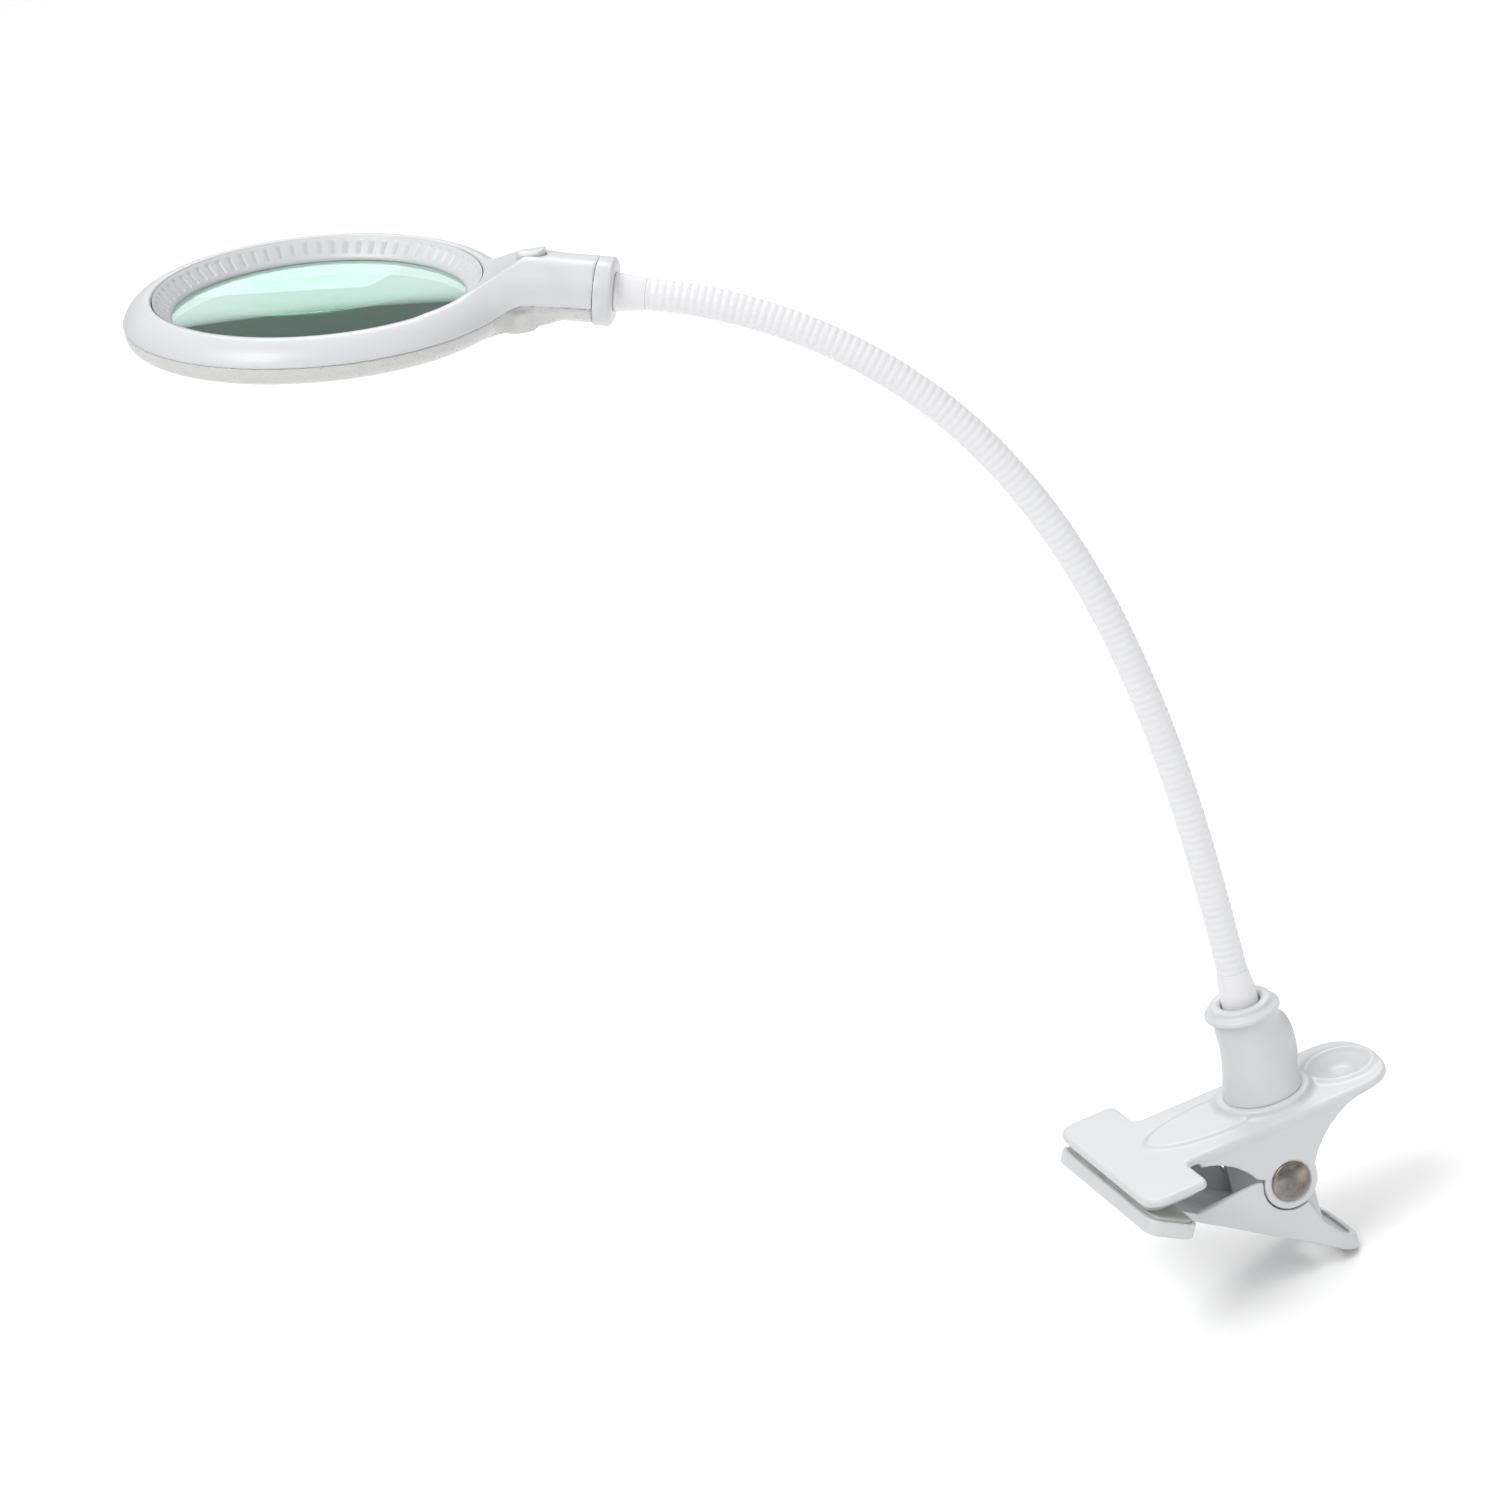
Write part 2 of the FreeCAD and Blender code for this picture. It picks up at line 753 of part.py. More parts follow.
def pivot_pin():
    length = s.body_width - s.cap_recess_depth * 2
    return cylinder("pivot_pin", s.pin_radius, length, (pivot_x, -length / 2, pivot_z), "Y")


def pivot_caps():
    """Domed rivet heads seated in the recesses of both ears."""
    rim = s.cap_recess_depth
    outline = [
        (0, 0),
        (s.cap_radius, 0),
        (s.cap_radius, rim),
        (0, rim + s.cap_dome, (s.cap_radius * s.cap_radius + s.cap_dome * s.cap_dome) / (s.cap_dome * 2)),
    ]
    seat = body_side - s.cap_recess_depth
    near = turned("near_cap", outline, (pivot_x, -seat, pivot_z))
    near.Placement.Rotation = FreeCAD.Rotation(AXES["X"], 90)
    far = turned("far_cap", outline, (pivot_x, seat, pivot_z))
    far.Placement.Rotation = FreeCAD.Rotation(AXES["X"], -90)
    return group("pivot_caps", [near, far])


def torsion_spring():
    """Coil round the pivot pin whose legs press the plate and the lower floor apart."""
    coil_length = s.spring_pitch * s.spring_turns
    helix = bind(doc.addObject("Part::Helix", "coil_line"), Pitch=s.spring_pitch, Height=coil_length,
                 Radius=s.spring_radius)
    wire = bind(doc.addObject("Part::Circle", "coil_section"), Radius=s.spring_wire)
    place(wire, s.spring_radius, 0, 0, FreeCAD.Rotation(AXES["X"], 90))
    coil = doc.addObject("Part::Sweep", "coil")
    coil.Sections = [wire]
    coil.Spine = (helix, ["Edge1"])
    coil.Solid = True
    coil.Frenet = True
    place(coil, pivot_x, -coil_length / 2, pivot_z, FreeCAD.Rotation(AXES["X"], -90))
    leg_x = pivot_x + s.spring_radius
    up = cylinder("upper_leg", s.spring_wire, s.pivot_drop - s.plate_thick,
                  (leg_x, -coil_length / 2, pivot_z))
    floor_z = floor_line(s.pivot_ahead - s.spring_radius, s.lower_wall * 1.2 + s.spring_wire)[1]
    down = cylinder("lower_leg", s.spring_wire, pivot_z - floor_z, (leg_x, coil_length / 2, pivot_z), "-Z")
    return fuse("torsion_spring", coil, up, down)


# ---- post ------------------------------------------------------------------------------------


def post():
    """Hollow flared post with the inlet boss at its rear and screw bosses in its foot."""
    seat = s.seat_height + s.seat_thick
    skin = [
        (0, 0),
        (s.post_base_radius, 0),
        (s.post_waist_radius, s.post_waist_height, -s.post_flare_arc),
        (s.post_top_radius, s.post_height),
        (0, s.post_height),
    ]
    foot = (s.post_setback, 0, boss_top)
    outer = turned("post_skin", skin, foot)
    boss = cylinder("inlet_boss", s.jack_boss_radius, s.jack_boss_reach,
                    (s.post_setback, 0, boss_top + s.jack_height), "X")
    low = cone("post_lower_room", s.post_base_radius - s.post_wall, s.post_waist_radius - s.post_wall,
               s.seat_height, foot)
    high = cylinder("post_upper_room", s.post_room, s.post_height - seat + 1,
                    (s.post_setback, 0, boss_top + seat))
    hole = cylinder("post_seat_hole", s.seat_hole, s.seat_thick + 2,
                    (s.post_setback, 0, boss_top + s.seat_height - 1))
    jack_hole = cylinder("jack_hole", s.jack_radius, s.jack_length + PAST,
                         (s.post_setback + s.jack_boss_reach - s.jack_length, 0, boss_top + s.jack_height),
                         "X")
    shell = cut("post_shell", fuse("post_blank", outer, boss), low, high, hole, jack_hole)
    bosses, holes = [], []
    for side, offset in (("near", -s.screw_offset), ("far", s.screw_offset)):
        at = (s.post_setback, offset, boss_top)
        bosses.append(cylinder(f"{side}_post_boss", s.screw_radius + s.post_wall, s.screw_length / 2, at))
        holes.append(cylinder(f"{side}_post_thread", s.screw_radius, s.screw_length, at))
    ribs = box("post_boss_rib", (s.post_setback - s.post_wall / 2, s.post_setback + s.post_wall / 2),
               (-s.post_base_radius + s.post_wall / 2, s.post_base_radius - s.post_wall / 2),
               (boss_top, boss_top + s.screw_length / 3))
    passage = cylinder("post_lead_passage", s.lead_passage, s.screw_length, foot)
    inner = cut("post_bosses", fuse("post_boss_blank", ribs, *bosses), passage, *holes)
    return fuse("post", shell, inner)


def post_screws():
    """Two self-tapping screws that pull the post down on the clamp plate."""
    screws = []
    for side, offset in (("near", -s.screw_offset), ("far", s.screw_offset)):
        head = cylinder(f"{side}_screw_cap", s.screw_head, s.screw_head_depth,
                        (s.post_setback, offset, s.pad_thick))
        reach = s.plate_thick + s.boss_height + s.screw_length / 2
        shank = cylinder(f"{side}_screw_shank", s.screw_radius, reach, (s.post_setback, offset, s.pad_thick))
        screws.append(fuse(f"{side}_post_screw", head, shank))
    return group("post_screws", screws)


def post_collar():
    """Stepped cap ring on the post: its spigot holds the neck ferrule's flange down."""
    outline = [
        (s.collar_hole, -s.collar_spigot),
        (s.post_room, -s.collar_spigot),
        (s.post_room, 0),
        (s.collar_radius, 0),
        (s.collar_radius, s.collar_lip),
        (s.collar_shoulder, s.collar_lip + s.collar_step, s.collar_round),
        (s.collar_shoulder - s.collar_taper, s.collar_height),
        (s.collar_hole, s.collar_height),
    ]
    return turned("post_collar", outline, (s.post_setback, 0, boss_top + s.post_height))


def base_ferrule():
    """Neck foot: flange clamped in the post, tapered sleeve, and the first ball of the neck."""
    seat = s.seat_height + s.seat_thick
    flange_top = s.post_height - s.collar_spigot
    taper_start = s.neck_start - s.ferrule_taper
    outline = [
        (0, seat),
        (s.ferrule_flange, seat),
        (s.ferrule_flange, flange_top),
        (s.ferrule_radius, flange_top),
        (s.ferrule_radius, taper_start),
        (s.sleeve_radius, s.neck_start - s.sleeve_set_back),
        (0, s.neck_start - s.sleeve_set_back),
    ]
    stem = turned("base_ferrule_stem", outline, (s.post_setback, 0, boss_top))
    bore = cylinder("base_ferrule_bore", s.ferrule_bore, s.neck_start - seat,
                    (s.post_setback, 0, boss_top + seat))
    return ball_end("base_ferrule", stem, bore, [], 0)


def post_leads():
    """Two-core lead from the inlet to the foot of the neck."""
    corner = (s.post_setback, 0, boss_top + s.jack_height)
    run = s.jack_boss_reach - s.jack_length
    flat = cylinder("post_lead_run", s.lead_radius, run, corner, "X")
    rise = cylinder("post_lead_rise", s.lead_radius, s.neck_start - s.lead_gap - s.jack_height, corner)
    elbow = place(bind(doc.addObject("Part::Sphere", "post_lead_elbow"), Radius=s.lead_radius), *corner)
    return fuse("post_leads", flat, rise, elbow)


def dc_jack():
    """Round power inlet pressed into the post's rear boss."""
    outline = [
        (0, 0),
        (s.jack_radius, 0),
        (s.jack_radius, s.jack_length),
        (s.jack_bore, s.jack_length),
        (s.jack_bore, s.jack_length - s.jack_depth),
        (0, s.jack_length - s.jack_depth),
    ]
    at = (s.post_setback + s.jack_boss_reach - s.jack_length, 0, boss_top + s.jack_height)
    return turned("dc_jack", outline, at, "X")


# ---- neck ------------------------------------------------------------------------------------

SEGMENTS = 8
heading = math.radians(float(s.neck_heading))
OUTWARD = V(-math.cos(heading), math.sin(heading), 0)
SIDEWAYS = AXES["Z"].cross(OUTWARD)


def neck_chain():
    """Walks the neck: each segment is one arc. Returns (point, climb angle) at every boundary."""
    point = V(float(s.post_setback), 0, float(boss_top + s.neck_start))
    climb = 90.0
    chain = [(point, climb)]
    for i in range(1, SEGMENTS + 1):
        turn = float(getattr(s, f"neck_turn_{i}"))
        radius = float(s.neck_segment) / math.radians(turn)
        centre = point + radius * lean(climb - 90)
        climb -= turn
        point = centre - radius * lean(climb - 90)
        chain.append((point, climb))
    return chain


def lean(angle):
    """Unit vector in the neck's plane at an angle over the horizontal."""
    return OUTWARD * math.cos(math.radians(angle)) + AXES["Z"] * math.sin(math.radians(angle))


CHAIN = neck_chain()


def neck_frame(i):
    """Placement at boundary i whose +Z runs up the neck and whose +Y is sideways."""
    point, climb = CHAIN[i]
    forward = lean(climb)
    return FreeCAD.Placement(point, FreeCAD.Rotation(SIDEWAYS.cross(forward), SIDEWAYS, forward, "ZXY"))


def bend(name, i, radius, start_gap, end_gap):
    """A round bar along segment i, with a gap left at each end of the segment."""
    turn = getattr(s, f"neck_turn_{i + 1}")
    major = s.neck_segment / (turn * math.pi / 180)
    per_mm = turn / s.neck_segment
    point, climb = CHAIN[i]
    inward = lean(climb - 90)
    bar = bind(doc.addObject("Part::Torus", name), Radius1=major, Radius2=radius,
               Angle3=turn - per_mm * (start_gap + end_gap))
    rotation = FreeCAD.Rotation(-inward, lean(climb), (-inward).cross(lean(climb)), "ZXY")
    advance = FreeCAD.Rotation(AXES["Z"], float(per_mm) * float(start_gap))
    bar.Placement = FreeCAD.Placement(point + inward * float(major), rotation * advance)
    return bar


def ball(name, i, radius):
    """A sphere centred on boundary i."""
    sphere = bind(doc.addObject("Part::Sphere", name), Radius=radius)
    sphere.Placement = neck_frame(i)
    return sphere


def ball_end(owner, stem, bore, cups, i):
    """Joins a ball to a stem at boundary i, then bores both and cuts the ball's nose flat."""
    nose = cylinder(f"{owner}_nose", s.ball_radius * 2, s.ball_radius, (0, 0, s.ball_nose))
    mouth = cylinder(f"{owner}_mouth", s.ball_bore, s.ball_radius * 2, (0, 0, -s.ball_mouth))
    tool = framed(f"{owner}_end_tool", fuse(f"{owner}_end_cut", nose, mouth), neck_frame(i))
    blank = fuse(f"{owner}_blank", stem, ball(f"{owner}_ball", i, s.ball_radius))
    return cut(owner, blank, bore, tool, *cups)


def neck_sleeve(i):
    """White sleeve of one neck segment, hollowed at its ends for the balls."""
    name = f"neck_sleeve_{i + 1}"
    outer = bend(name + "_outer", i, s.sleeve_radius, s.sleeve_lip, s.sleeve_set_back)
    inner = bend(name + "_inner", i, s.sleeve_bore, -s.sleeve_lip, 0)
    rooms = [ball(name + "_cup", i, s.cup_radius), ball(name + "_socket", i + 1, s.ball_radius)]
    return cut(name, outer, inner, *rooms)


def neck_core(i):
    """Steel core of one neck segment, ending in the ball that the next segment turns on."""
    name = f"neck_core_{i + 1}"
    outer = bend(name + "_outer", i, s.sleeve_bore, s.sleeve_lip, s.sleeve_set_back)
    inner = bend(name + "_inner", i, s.core_bore, -s.sleeve_lip, 0)
    return ball_end(name, outer, inner, [ball(name + "_cup", i, s.cup_radius)], i + 1)


def neck_leads(i):
    """Two-core lead inside one neck segment."""
    return bend(f"neck_leads_{i + 1}", i, s.lead_radius, s.lead_gap, s.lead_gap)


# ---- head ------------------------------------------------------------------------------------

# The handle frame has its origin at the end cap's rear face, +X towards the neck and +Z up.
# The head frame has its origin at the lens centre, +X towards the handle and +Z along the lens axis.
END, END_CLIMB = CHAIN[-1]
HANDLE = FreeCAD.Placement(
    END + lean(END_CLIMB) * float(s.head_ferrule_length),
    FreeCAD.Rotation(-lean(END_CLIMB), SIDEWAYS * -1, lean(END_CLIMB + 90), "ZXY"),
)
HANDLE_IN_HEAD = FreeCAD.Placement(
    V(float(s.handle_reach), 0, float(s.handle_lift)), FreeCAD.Rotation(AXES["Y"], float(s.handle_droop))
)
HEAD = HANDLE * HANDLE_IN_HEAD.inverse()


def in_head(obj):
    """Puts a piece modelled in the head frame where the head is."""
    obj.Placement = HEAD
    return obj


def handle_bar(name, inset, start, end):
    """A bar of the handle's flat-sided oval section, between two distances from the end cap's rear face."""
    radius = s.handle_half_height - inset
    side = s.handle_half_width - s.handle_half_height
    parts = [
        cylinder(f"{name}_near", radius, end - start, (-end, -side, 0), "X"),
        cylinder(f"{name}_far", radius, end - start, (-end, side, 0), "X"),
        box(f"{name}_mid", (-end, -start), (-side, side), (-radius, radius)),
    ]
    return fuse(name, *parts)


def handle_nose(name, shift):
    """The block over a slope that brings the handle's top down to the ring, moved by a shift."""
    length = s.handle_length + s.end_cap_length
    side = s.handle_half_width * 5
    cutter = bind(doc.addObject("Part::Box", name), Length=side, Width=side, Height=side)
    slope = FreeCAD.Rotation(AXES["Y"], -float(s.handle_nose_slope))
    corner = V(float(shift - length), -float(side) / 2, 0)
    cutter.Placement = FreeCAD.Placement(corner - slope.multVec(V(float(side) / 2, 0, 0)), slope)
    return cutter


def handle_blank(name, inset, room, low, high):
    """A solid length of the handle between two heights, grown by room at its ends, in the head frame."""
    end = s.handle_length + s.end_cap_length
    bar = handle_bar(f"{name}_bar", inset, s.end_cap_length - room, end + room)
    sloped = cut(f"{name}_sloped", bar, handle_nose(f"{name}_nose", inset))
    reach = s.handle_length * 3
    kept = common(name, sloped, box(f"{name}_half", (-reach, reach), (-reach, reach), (low, high)))
    kept.Placement = HANDLE_IN_HEAD
    return kept


def flare(name, inset, low, high):
    """Web between the ring and the handle, narrowing from the ring to the handle."""
    half = [
        (s.cover_inner * 0.8, s.flare_half_width - inset),
        (s.flare_reach, s.handle_half_width - inset + s.flare_fillet),
        (s.flare_reach + s.flare_tail, s.handle_half_width - inset - s.flare_fillet / 2),
    ]
    return plan_profile(name, mirrored_outline(half), low, high)


def screw_places():
    """Where the head's two screws stand, in the head frame."""
    reach = s.flare_reach + s.head_screw_ahead
    return [(reach, -s.head_screw_side), (reach, s.head_screw_side)]


def head_top_cover():
    """Upper housing: domed ring round the bezel, web and upper handle half with the button hole."""
    inner_top = s.cover_top - s.cover_wall
    ring = turned("top_ring", [
        (s.cover_inner, s.cover_top),
        (s.cover_inner, inner_top),
        (s.cover_radius - s.cover_wall, -s.parting, -s.cover_crown_arc),
        (s.cover_radius, -s.parting),
        (s.cover_inner + s.cover_wall, s.cover_top, s.cover_crown_arc),
    ])
    split = -s.handle_split_drop
    height = s.handle_half_height * 2
    solid = fuse(
        "top_solid", ring, flare("top_flare", 0, -s.parting, s.flare_top),
        handle_blank("top_handle", 0, 0, split, height),
    )
    rooms = [
        flare("top_flare_room", s.cover_wall, -s.parting - 1, s.flare_top - s.cover_wall),
        handle_blank("top_handle_room", s.handle_wall, s.handle_wall, split - 1, height),
        cylinder("top_opening", s.cover_inner, s.cover_top * 4, (0, 0, -s.cover_top * 2)),
    ]
    cover = cut("top_shell", solid, *rooms, button_outline("button_hole", s.button_play, 0, height))
    posts = [
        cylinder(f"top_boss_{i}", s.head_screw_radius + s.cover_wall / 2, height, (x, y, -s.parting))
        for i, (x, y) in enumerate(screw_places())
    ]
    bosses = common("top_bosses", solid, fuse("top_boss_blanks", *posts))
    threads = [
        cylinder(f"top_thread_{i}", s.head_screw_radius, s.head_screw_reach, (x, y, -s.parting))
        for i, (x, y) in enumerate(screw_places())
    ]
    return in_head(cut("head_top_cover", fuse("top_with_bosses", cover, bosses), *threads))


def button_outline(name, play, low, high):
    """The push-button's oval prism, grown by a play, in the head frame."""
    half_length, half_width = s.button_length / 2 + play, s.button_width / 2 + play
    prism = slab(name + "_prism", (-s.button_setback - half_length, -s.button_setback + half_length),
                 (-half_width, half_width), (low, high), s.button_width / 2.05)
    return framed(name, prism, HANDLE_IN_HEAD)


def head_lower_cover():
    """Frosted lower housing: the ring diffuser under the LEDs, web and lower handle half."""
    wall, depth, corner = s.diffuser_wall, -s.diffuser_depth, s.diffuser_corner
    outer = s.cover_radius - s.diffuser_step
    lip = -s.lens_seat - s.lens_edge - s.lens_play
    board_edge = s.board_inner - s.board_margin
    ring = turned("diffuser_ring", [
        (outer, -s.parting),
        (outer - wall, -s.parting),
        (outer - wall, depth + corner),
        (outer - corner, depth + wall, -(corner - wall)),
        (board_edge, depth + wall),
        (board_edge - wall / 2, lip),
        (s.lens_radius - s.lens_lip, lip),
        (s.lens_radius - s.lens_lip, lip - wall),
        (s.lens_radius + wall, depth),
        (outer - corner, depth),
        (outer, depth + corner, corner),
    ])
    split = -s.handle_split_drop
    height = -s.handle_half_height * 2
    floor = depth + s.diffuser_corner / 3
    solid = fuse(
        "lower_solid", flare("lower_flare", s.diffuser_step, floor, -s.parting),
        handle_blank("lower_handle", s.cover_inset, 0, height, split),
    )
    rooms = [
        flare("lower_flare_room", s.diffuser_step + wall, floor + wall, s.cover_top),
        handle_blank("lower_handle_room", s.cover_inset + wall, wall, height, split + 1),
        cylinder("lower_opening", outer - wall - s.diffuser_step / 4, s.cover_top * 4,
                 (0, 0, -s.cover_top * 2)),
    ]
    reach = s.flare_reach + s.flare_tail
    over = box("lower_flare_over", (0, reach), (-reach, reach), (-s.parting, reach))
    shell = fuse("lower_shell_blank", ring, cut("lower_shell_open", solid, over, *rooms))
    board_room = turned("board_room", [
        (board_edge, depth + wall + s.diffuser_relief),
        (outer - corner, depth + wall + s.diffuser_relief),
        (outer - wall, depth + corner),
        (outer - wall, 0),
        (board_edge, 0),
    ])
    holes = [
        cylinder(f"lower_screw_hole_{i}", s.head_screw_radius, s.cover_top * 2, (x, y, -s.cover_top))
        for i, (x, y) in enumerate(screw_places())
    ]
    return in_head(cut("head_lower_cover", shell, board_room, *holes))


def lens_bezel():
    """Funnel ring that frames the lens and holds its edge."""
    seat = -s.lens_seat
    clip = s.lens_radius + s.lens_rim_gap
    crown = s.lens_sag * (1 - s.aperture * s.aperture / (s.lens_radius * s.lens_radius))
    return in_head(turned("lens_bezel", [
        (s.aperture, seat + crown + s.lens_play + s.bezel_wall / 2),
        (s.bezel_outer, s.bezel_rise),
        (s.bezel_outer, s.bezel_rise - s.bezel_wall * 1.4),
        (clip + s.bezel_wall, s.bezel_wall),
        (clip + s.bezel_wall, seat - s.lens_edge),
        (clip, seat - s.lens_edge),
        (clip, seat + s.lens_play / 2),
        (s.aperture, seat + crown + s.lens_play / 2),
    ]))


def lens():
    """Biconvex glass lens."""
    top = -s.lens_seat
    bottom = top - s.lens_edge
    radius = (s.lens_radius * s.lens_radius + s.lens_sag * s.lens_sag) / (s.lens_sag * 2)
    return in_head(turned("lens", [
        (0, bottom - s.lens_sag),
        (s.lens_radius, bottom, radius),
        (s.lens_radius, top),
        (0, top + s.lens_sag, radius),
    ]))


def led_board():
    """Ring circuit board that carries the LEDs."""
    top = -s.board_drop
    return in_head(turned("led_board", [
        (s.board_inner, top),
        (s.board_inner, top - s.board_thick),
        (s.board_outer, top - s.board_thick),
        (s.board_outer, top),
    ]))


def leds():
    """LED packages spaced round the underside of the ring board."""
    count = int(float(s.led_count))
    packages = []
    for i in range(count):
        package = bind(doc.addObject("Part::Box", f"led_{i + 1}"), Length=s.led_width, Width=s.led_length,
                       Height=s.led_height)
        turn = FreeCAD.Rotation(AXES["Z"], 360 * i / count)
        corner = V(float(s.led_pitch_radius - s.led_width / 2), -float(s.led_length) / 2,
                   -float(s.board_drop + s.board_thick + s.led_height))
        package.Placement = FreeCAD.Placement(turn.multVec(corner), turn)
        packages.append(package)
    return in_head(group("leds", packages))


def handle_end_cap():
    """Cup that closes the handle's end round the neck ferrule."""
    blank = handle_bar("end_cap_blank", 0, 0, s.end_cap_length)
    room = handle_bar("end_cap_room", s.handle_wall, s.handle_wall, s.end_cap_length + 1)
    bore = cylinder("end_cap_bore", s.head_tang_radius, s.end_cap_length * 3,
                    (-s.end_cap_length * 2, 0, 0), "X")
    cap = cut("handle_end_cap", blank, room, bore)
    cap.Placement = HANDLE
    return cap


def head_ferrule():
    """Tapered neck end: a tang clamped in the end cap and the last cup of the neck."""
    length = s.head_ferrule_length - s.sleeve_lip
    tang = s.head_tang_radius
    stem = turned("head_ferrule_stem", [
        (s.core_bore, -s.head_tang),
        (tang + s.handle_wall, -s.head_tang),
        (tang + s.handle_wall, -s.head_tang + s.handle_wall),
        (tang, -s.head_tang + s.handle_wall),
        (tang, 0),
        (s.head_flange_radius, 0),
        (s.head_flange_radius, s.head_flange_thick),
        (s.head_ferrule_radius, s.head_flange_thick),
        (s.sleeve_radius, length),
        (s.core_bore, length),
    ], along="X")
    stem.Placement = HANDLE * stem.Placement
    return cut("head_ferrule", stem, ball("head_ferrule_cup", SEGMENTS, s.cup_radius))


def power_button():
    """Oval push-button that slides in the handle's top over the switch."""
    top = s.handle_half_height + s.button_rise
    cap = button_outline("button_cap", 0, s.button_base, top)
    foot = (s.button_base, s.button_base + s.button_flange)
    flange = button_outline("button_foot_blank", s.button_play + s.button_foot, *foot)
    return in_head(fuse("power_button", cap, flange))


def power_switch():
    """Push switch on the driver board under the button."""
    half = s.switch_size / 2
    low = s.driver_rise + s.driver_thick
    body = box("switch_box", (-s.button_setback - half, -s.button_setback + half), (-half, half),
               (low, low + s.switch_height - s.switch_stem))
    plunger = cylinder("switch_plunger", half / 2, s.switch_height, (-s.button_setback, 0, low))
    switch = fuse("power_switch", body, plunger)
    switch.Placement = HANDLE
    return switch


def driver_spans():
    """X and Y spans of the driver board in the handle frame."""
    front = -s.end_cap_length - s.driver_setback - s.driver_length
    return (front, front + s.driver_length), (-s.driver_width / 2, s.driver_width / 2)


def driver_board():
    (front, rear), sides = driver_spans()
    thickness = (s.driver_rise, s.driver_rise + s.driver_thick)
    return framed("driver_board", box("driver_plate", (front, rear), sides, thickness), HANDLE)


def driver_parts():
    """Coil, capacitor and resistor blocks on the driver board."""
    (front, rear), sides = driver_spans()
    top = s.driver_rise + s.driver_thick
    across = s.part_spacing
    coil = cylinder("driver_coil", s.coil_radius, s.coil_height,
                    (rear - across, sides[0] + s.coil_radius + 1, top))
    capacitor = cylinder("driver_capacitor", s.capacitor_radius, s.capacitor_height,
                         (rear - across, sides[1] - s.capacitor_radius - 1, top))
    chip = box("driver_chip", (rear - across * 2 - s.chip_side, rear - across * 2),
               (sides[1] - 1 - s.chip_side, sides[1] - 1), (top, top + s.chip_height))
    return framed("driver_parts", group("driver_part_set", [coil, capacitor, chip]), HANDLE)


def head_leads():
    """Two-core lead from the neck to the driver board."""
    start = driver_spans()[0][1]
    length = s.head_ferrule_length - s.lead_gap - start
    return framed("head_leads", cylinder("head_lead_bar", s.lead_radius, length, (start, 0, 0), "X"), HANDLE)


def head_screws():
    """Self-tapping screws that close the two head covers."""
    screws = []
    floor = -s.diffuser_depth + s.diffuser_corner / 3
    for i, (x, y) in enumerate(screw_places()):
        reach = s.head_screw_reach - s.parting - floor
        shank = cylinder(f"head_screw_shank_{i}", s.head_screw_radius, reach, (x, y, floor))
        cap = cylinder(f"head_screw_cap_{i}", s.head_screw_head, s.diffuser_wall,
                       (x, y, floor - s.diffuser_wall))
        screws.append(fuse(f"head_screw_{i + 1}", shank, cap))
    return in_head(group("head_screws", screws))


SUBPARTS = [
    clip_upper_shell, upper_jaw_pad, clip_lower_shell, lower_jaw_pad, pivot_pin, pivot_caps, torsion_spring,
    post, post_screws, post_collar, base_ferrule, post_leads, dc_jack,
    head_top_cover, head_lower_cover, lens_bezel, lens, led_board, leds, handle_end_cap, head_ferrule,
    power_button, power_switch, driver_board, driver_parts, head_leads, head_screws,
]
SERIES = [neck_sleeve, neck_core, neck_leads]


def build():
    """Builds every sub-part once and labels it with its node's name."""
    parts = [make() for make in SUBPARTS]
    parts += [make(i) for make in SERIES for i in range(SEGMENTS)]
    doc.recompute()
    return parts


def check(parts):
    """Stops on any failed object or unsound shape."""
    for obj in doc.Objects:
        if "Invalid" in obj.State or "Error" in obj.State:
            raise RuntimeError(f"{obj.Name} failed: {obj.State}")
    for obj in parts:
        if obj.Shape.isNull() or not obj.Shape.isValid() or not obj.Shape.Solids:
            raise RuntimeError(f"{obj.Label} has no valid solid")


def export(parts):
    os.makedirs("parts", exist_ok=True)
    for obj in parts:
        obj.Shape.exportStep(f"parts/{obj.Label}.step")
        print(f"{obj.Label}: {obj.Shape.Volume:.1f} mm3, {len(obj.Shape.Solids)} solid(s)")


parts = build()
check(parts)
export(parts)
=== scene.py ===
"""Builds the looks of a clip-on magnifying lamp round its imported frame."""
import json
import math

import bmesh
import bpy
import numpy as np
from mathutils import Euler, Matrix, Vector


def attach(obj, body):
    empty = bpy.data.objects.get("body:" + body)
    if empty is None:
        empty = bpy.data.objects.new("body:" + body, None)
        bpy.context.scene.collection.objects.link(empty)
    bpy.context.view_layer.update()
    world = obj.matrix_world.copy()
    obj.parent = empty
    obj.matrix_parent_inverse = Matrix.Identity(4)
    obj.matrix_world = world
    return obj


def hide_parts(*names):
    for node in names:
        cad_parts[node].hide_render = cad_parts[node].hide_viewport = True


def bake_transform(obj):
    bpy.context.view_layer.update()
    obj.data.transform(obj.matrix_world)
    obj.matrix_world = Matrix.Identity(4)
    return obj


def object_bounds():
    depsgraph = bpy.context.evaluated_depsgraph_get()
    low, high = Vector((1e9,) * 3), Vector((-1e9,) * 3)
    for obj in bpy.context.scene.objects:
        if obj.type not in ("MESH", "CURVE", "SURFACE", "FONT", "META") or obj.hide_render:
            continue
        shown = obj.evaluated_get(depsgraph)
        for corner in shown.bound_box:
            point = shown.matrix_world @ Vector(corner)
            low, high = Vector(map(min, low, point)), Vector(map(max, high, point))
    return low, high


bl_info = {
    "name": "Clip-on magnifying lamp",
    "version": (1, 0, 0),
    "blender": (4, 5, 0),
    "location": "View3D > Sidebar > Lamp",
    "description": "Builds a clip-on magnifying lamp with a ring head and a ribbed gooseneck",
    "category": "Object",
}

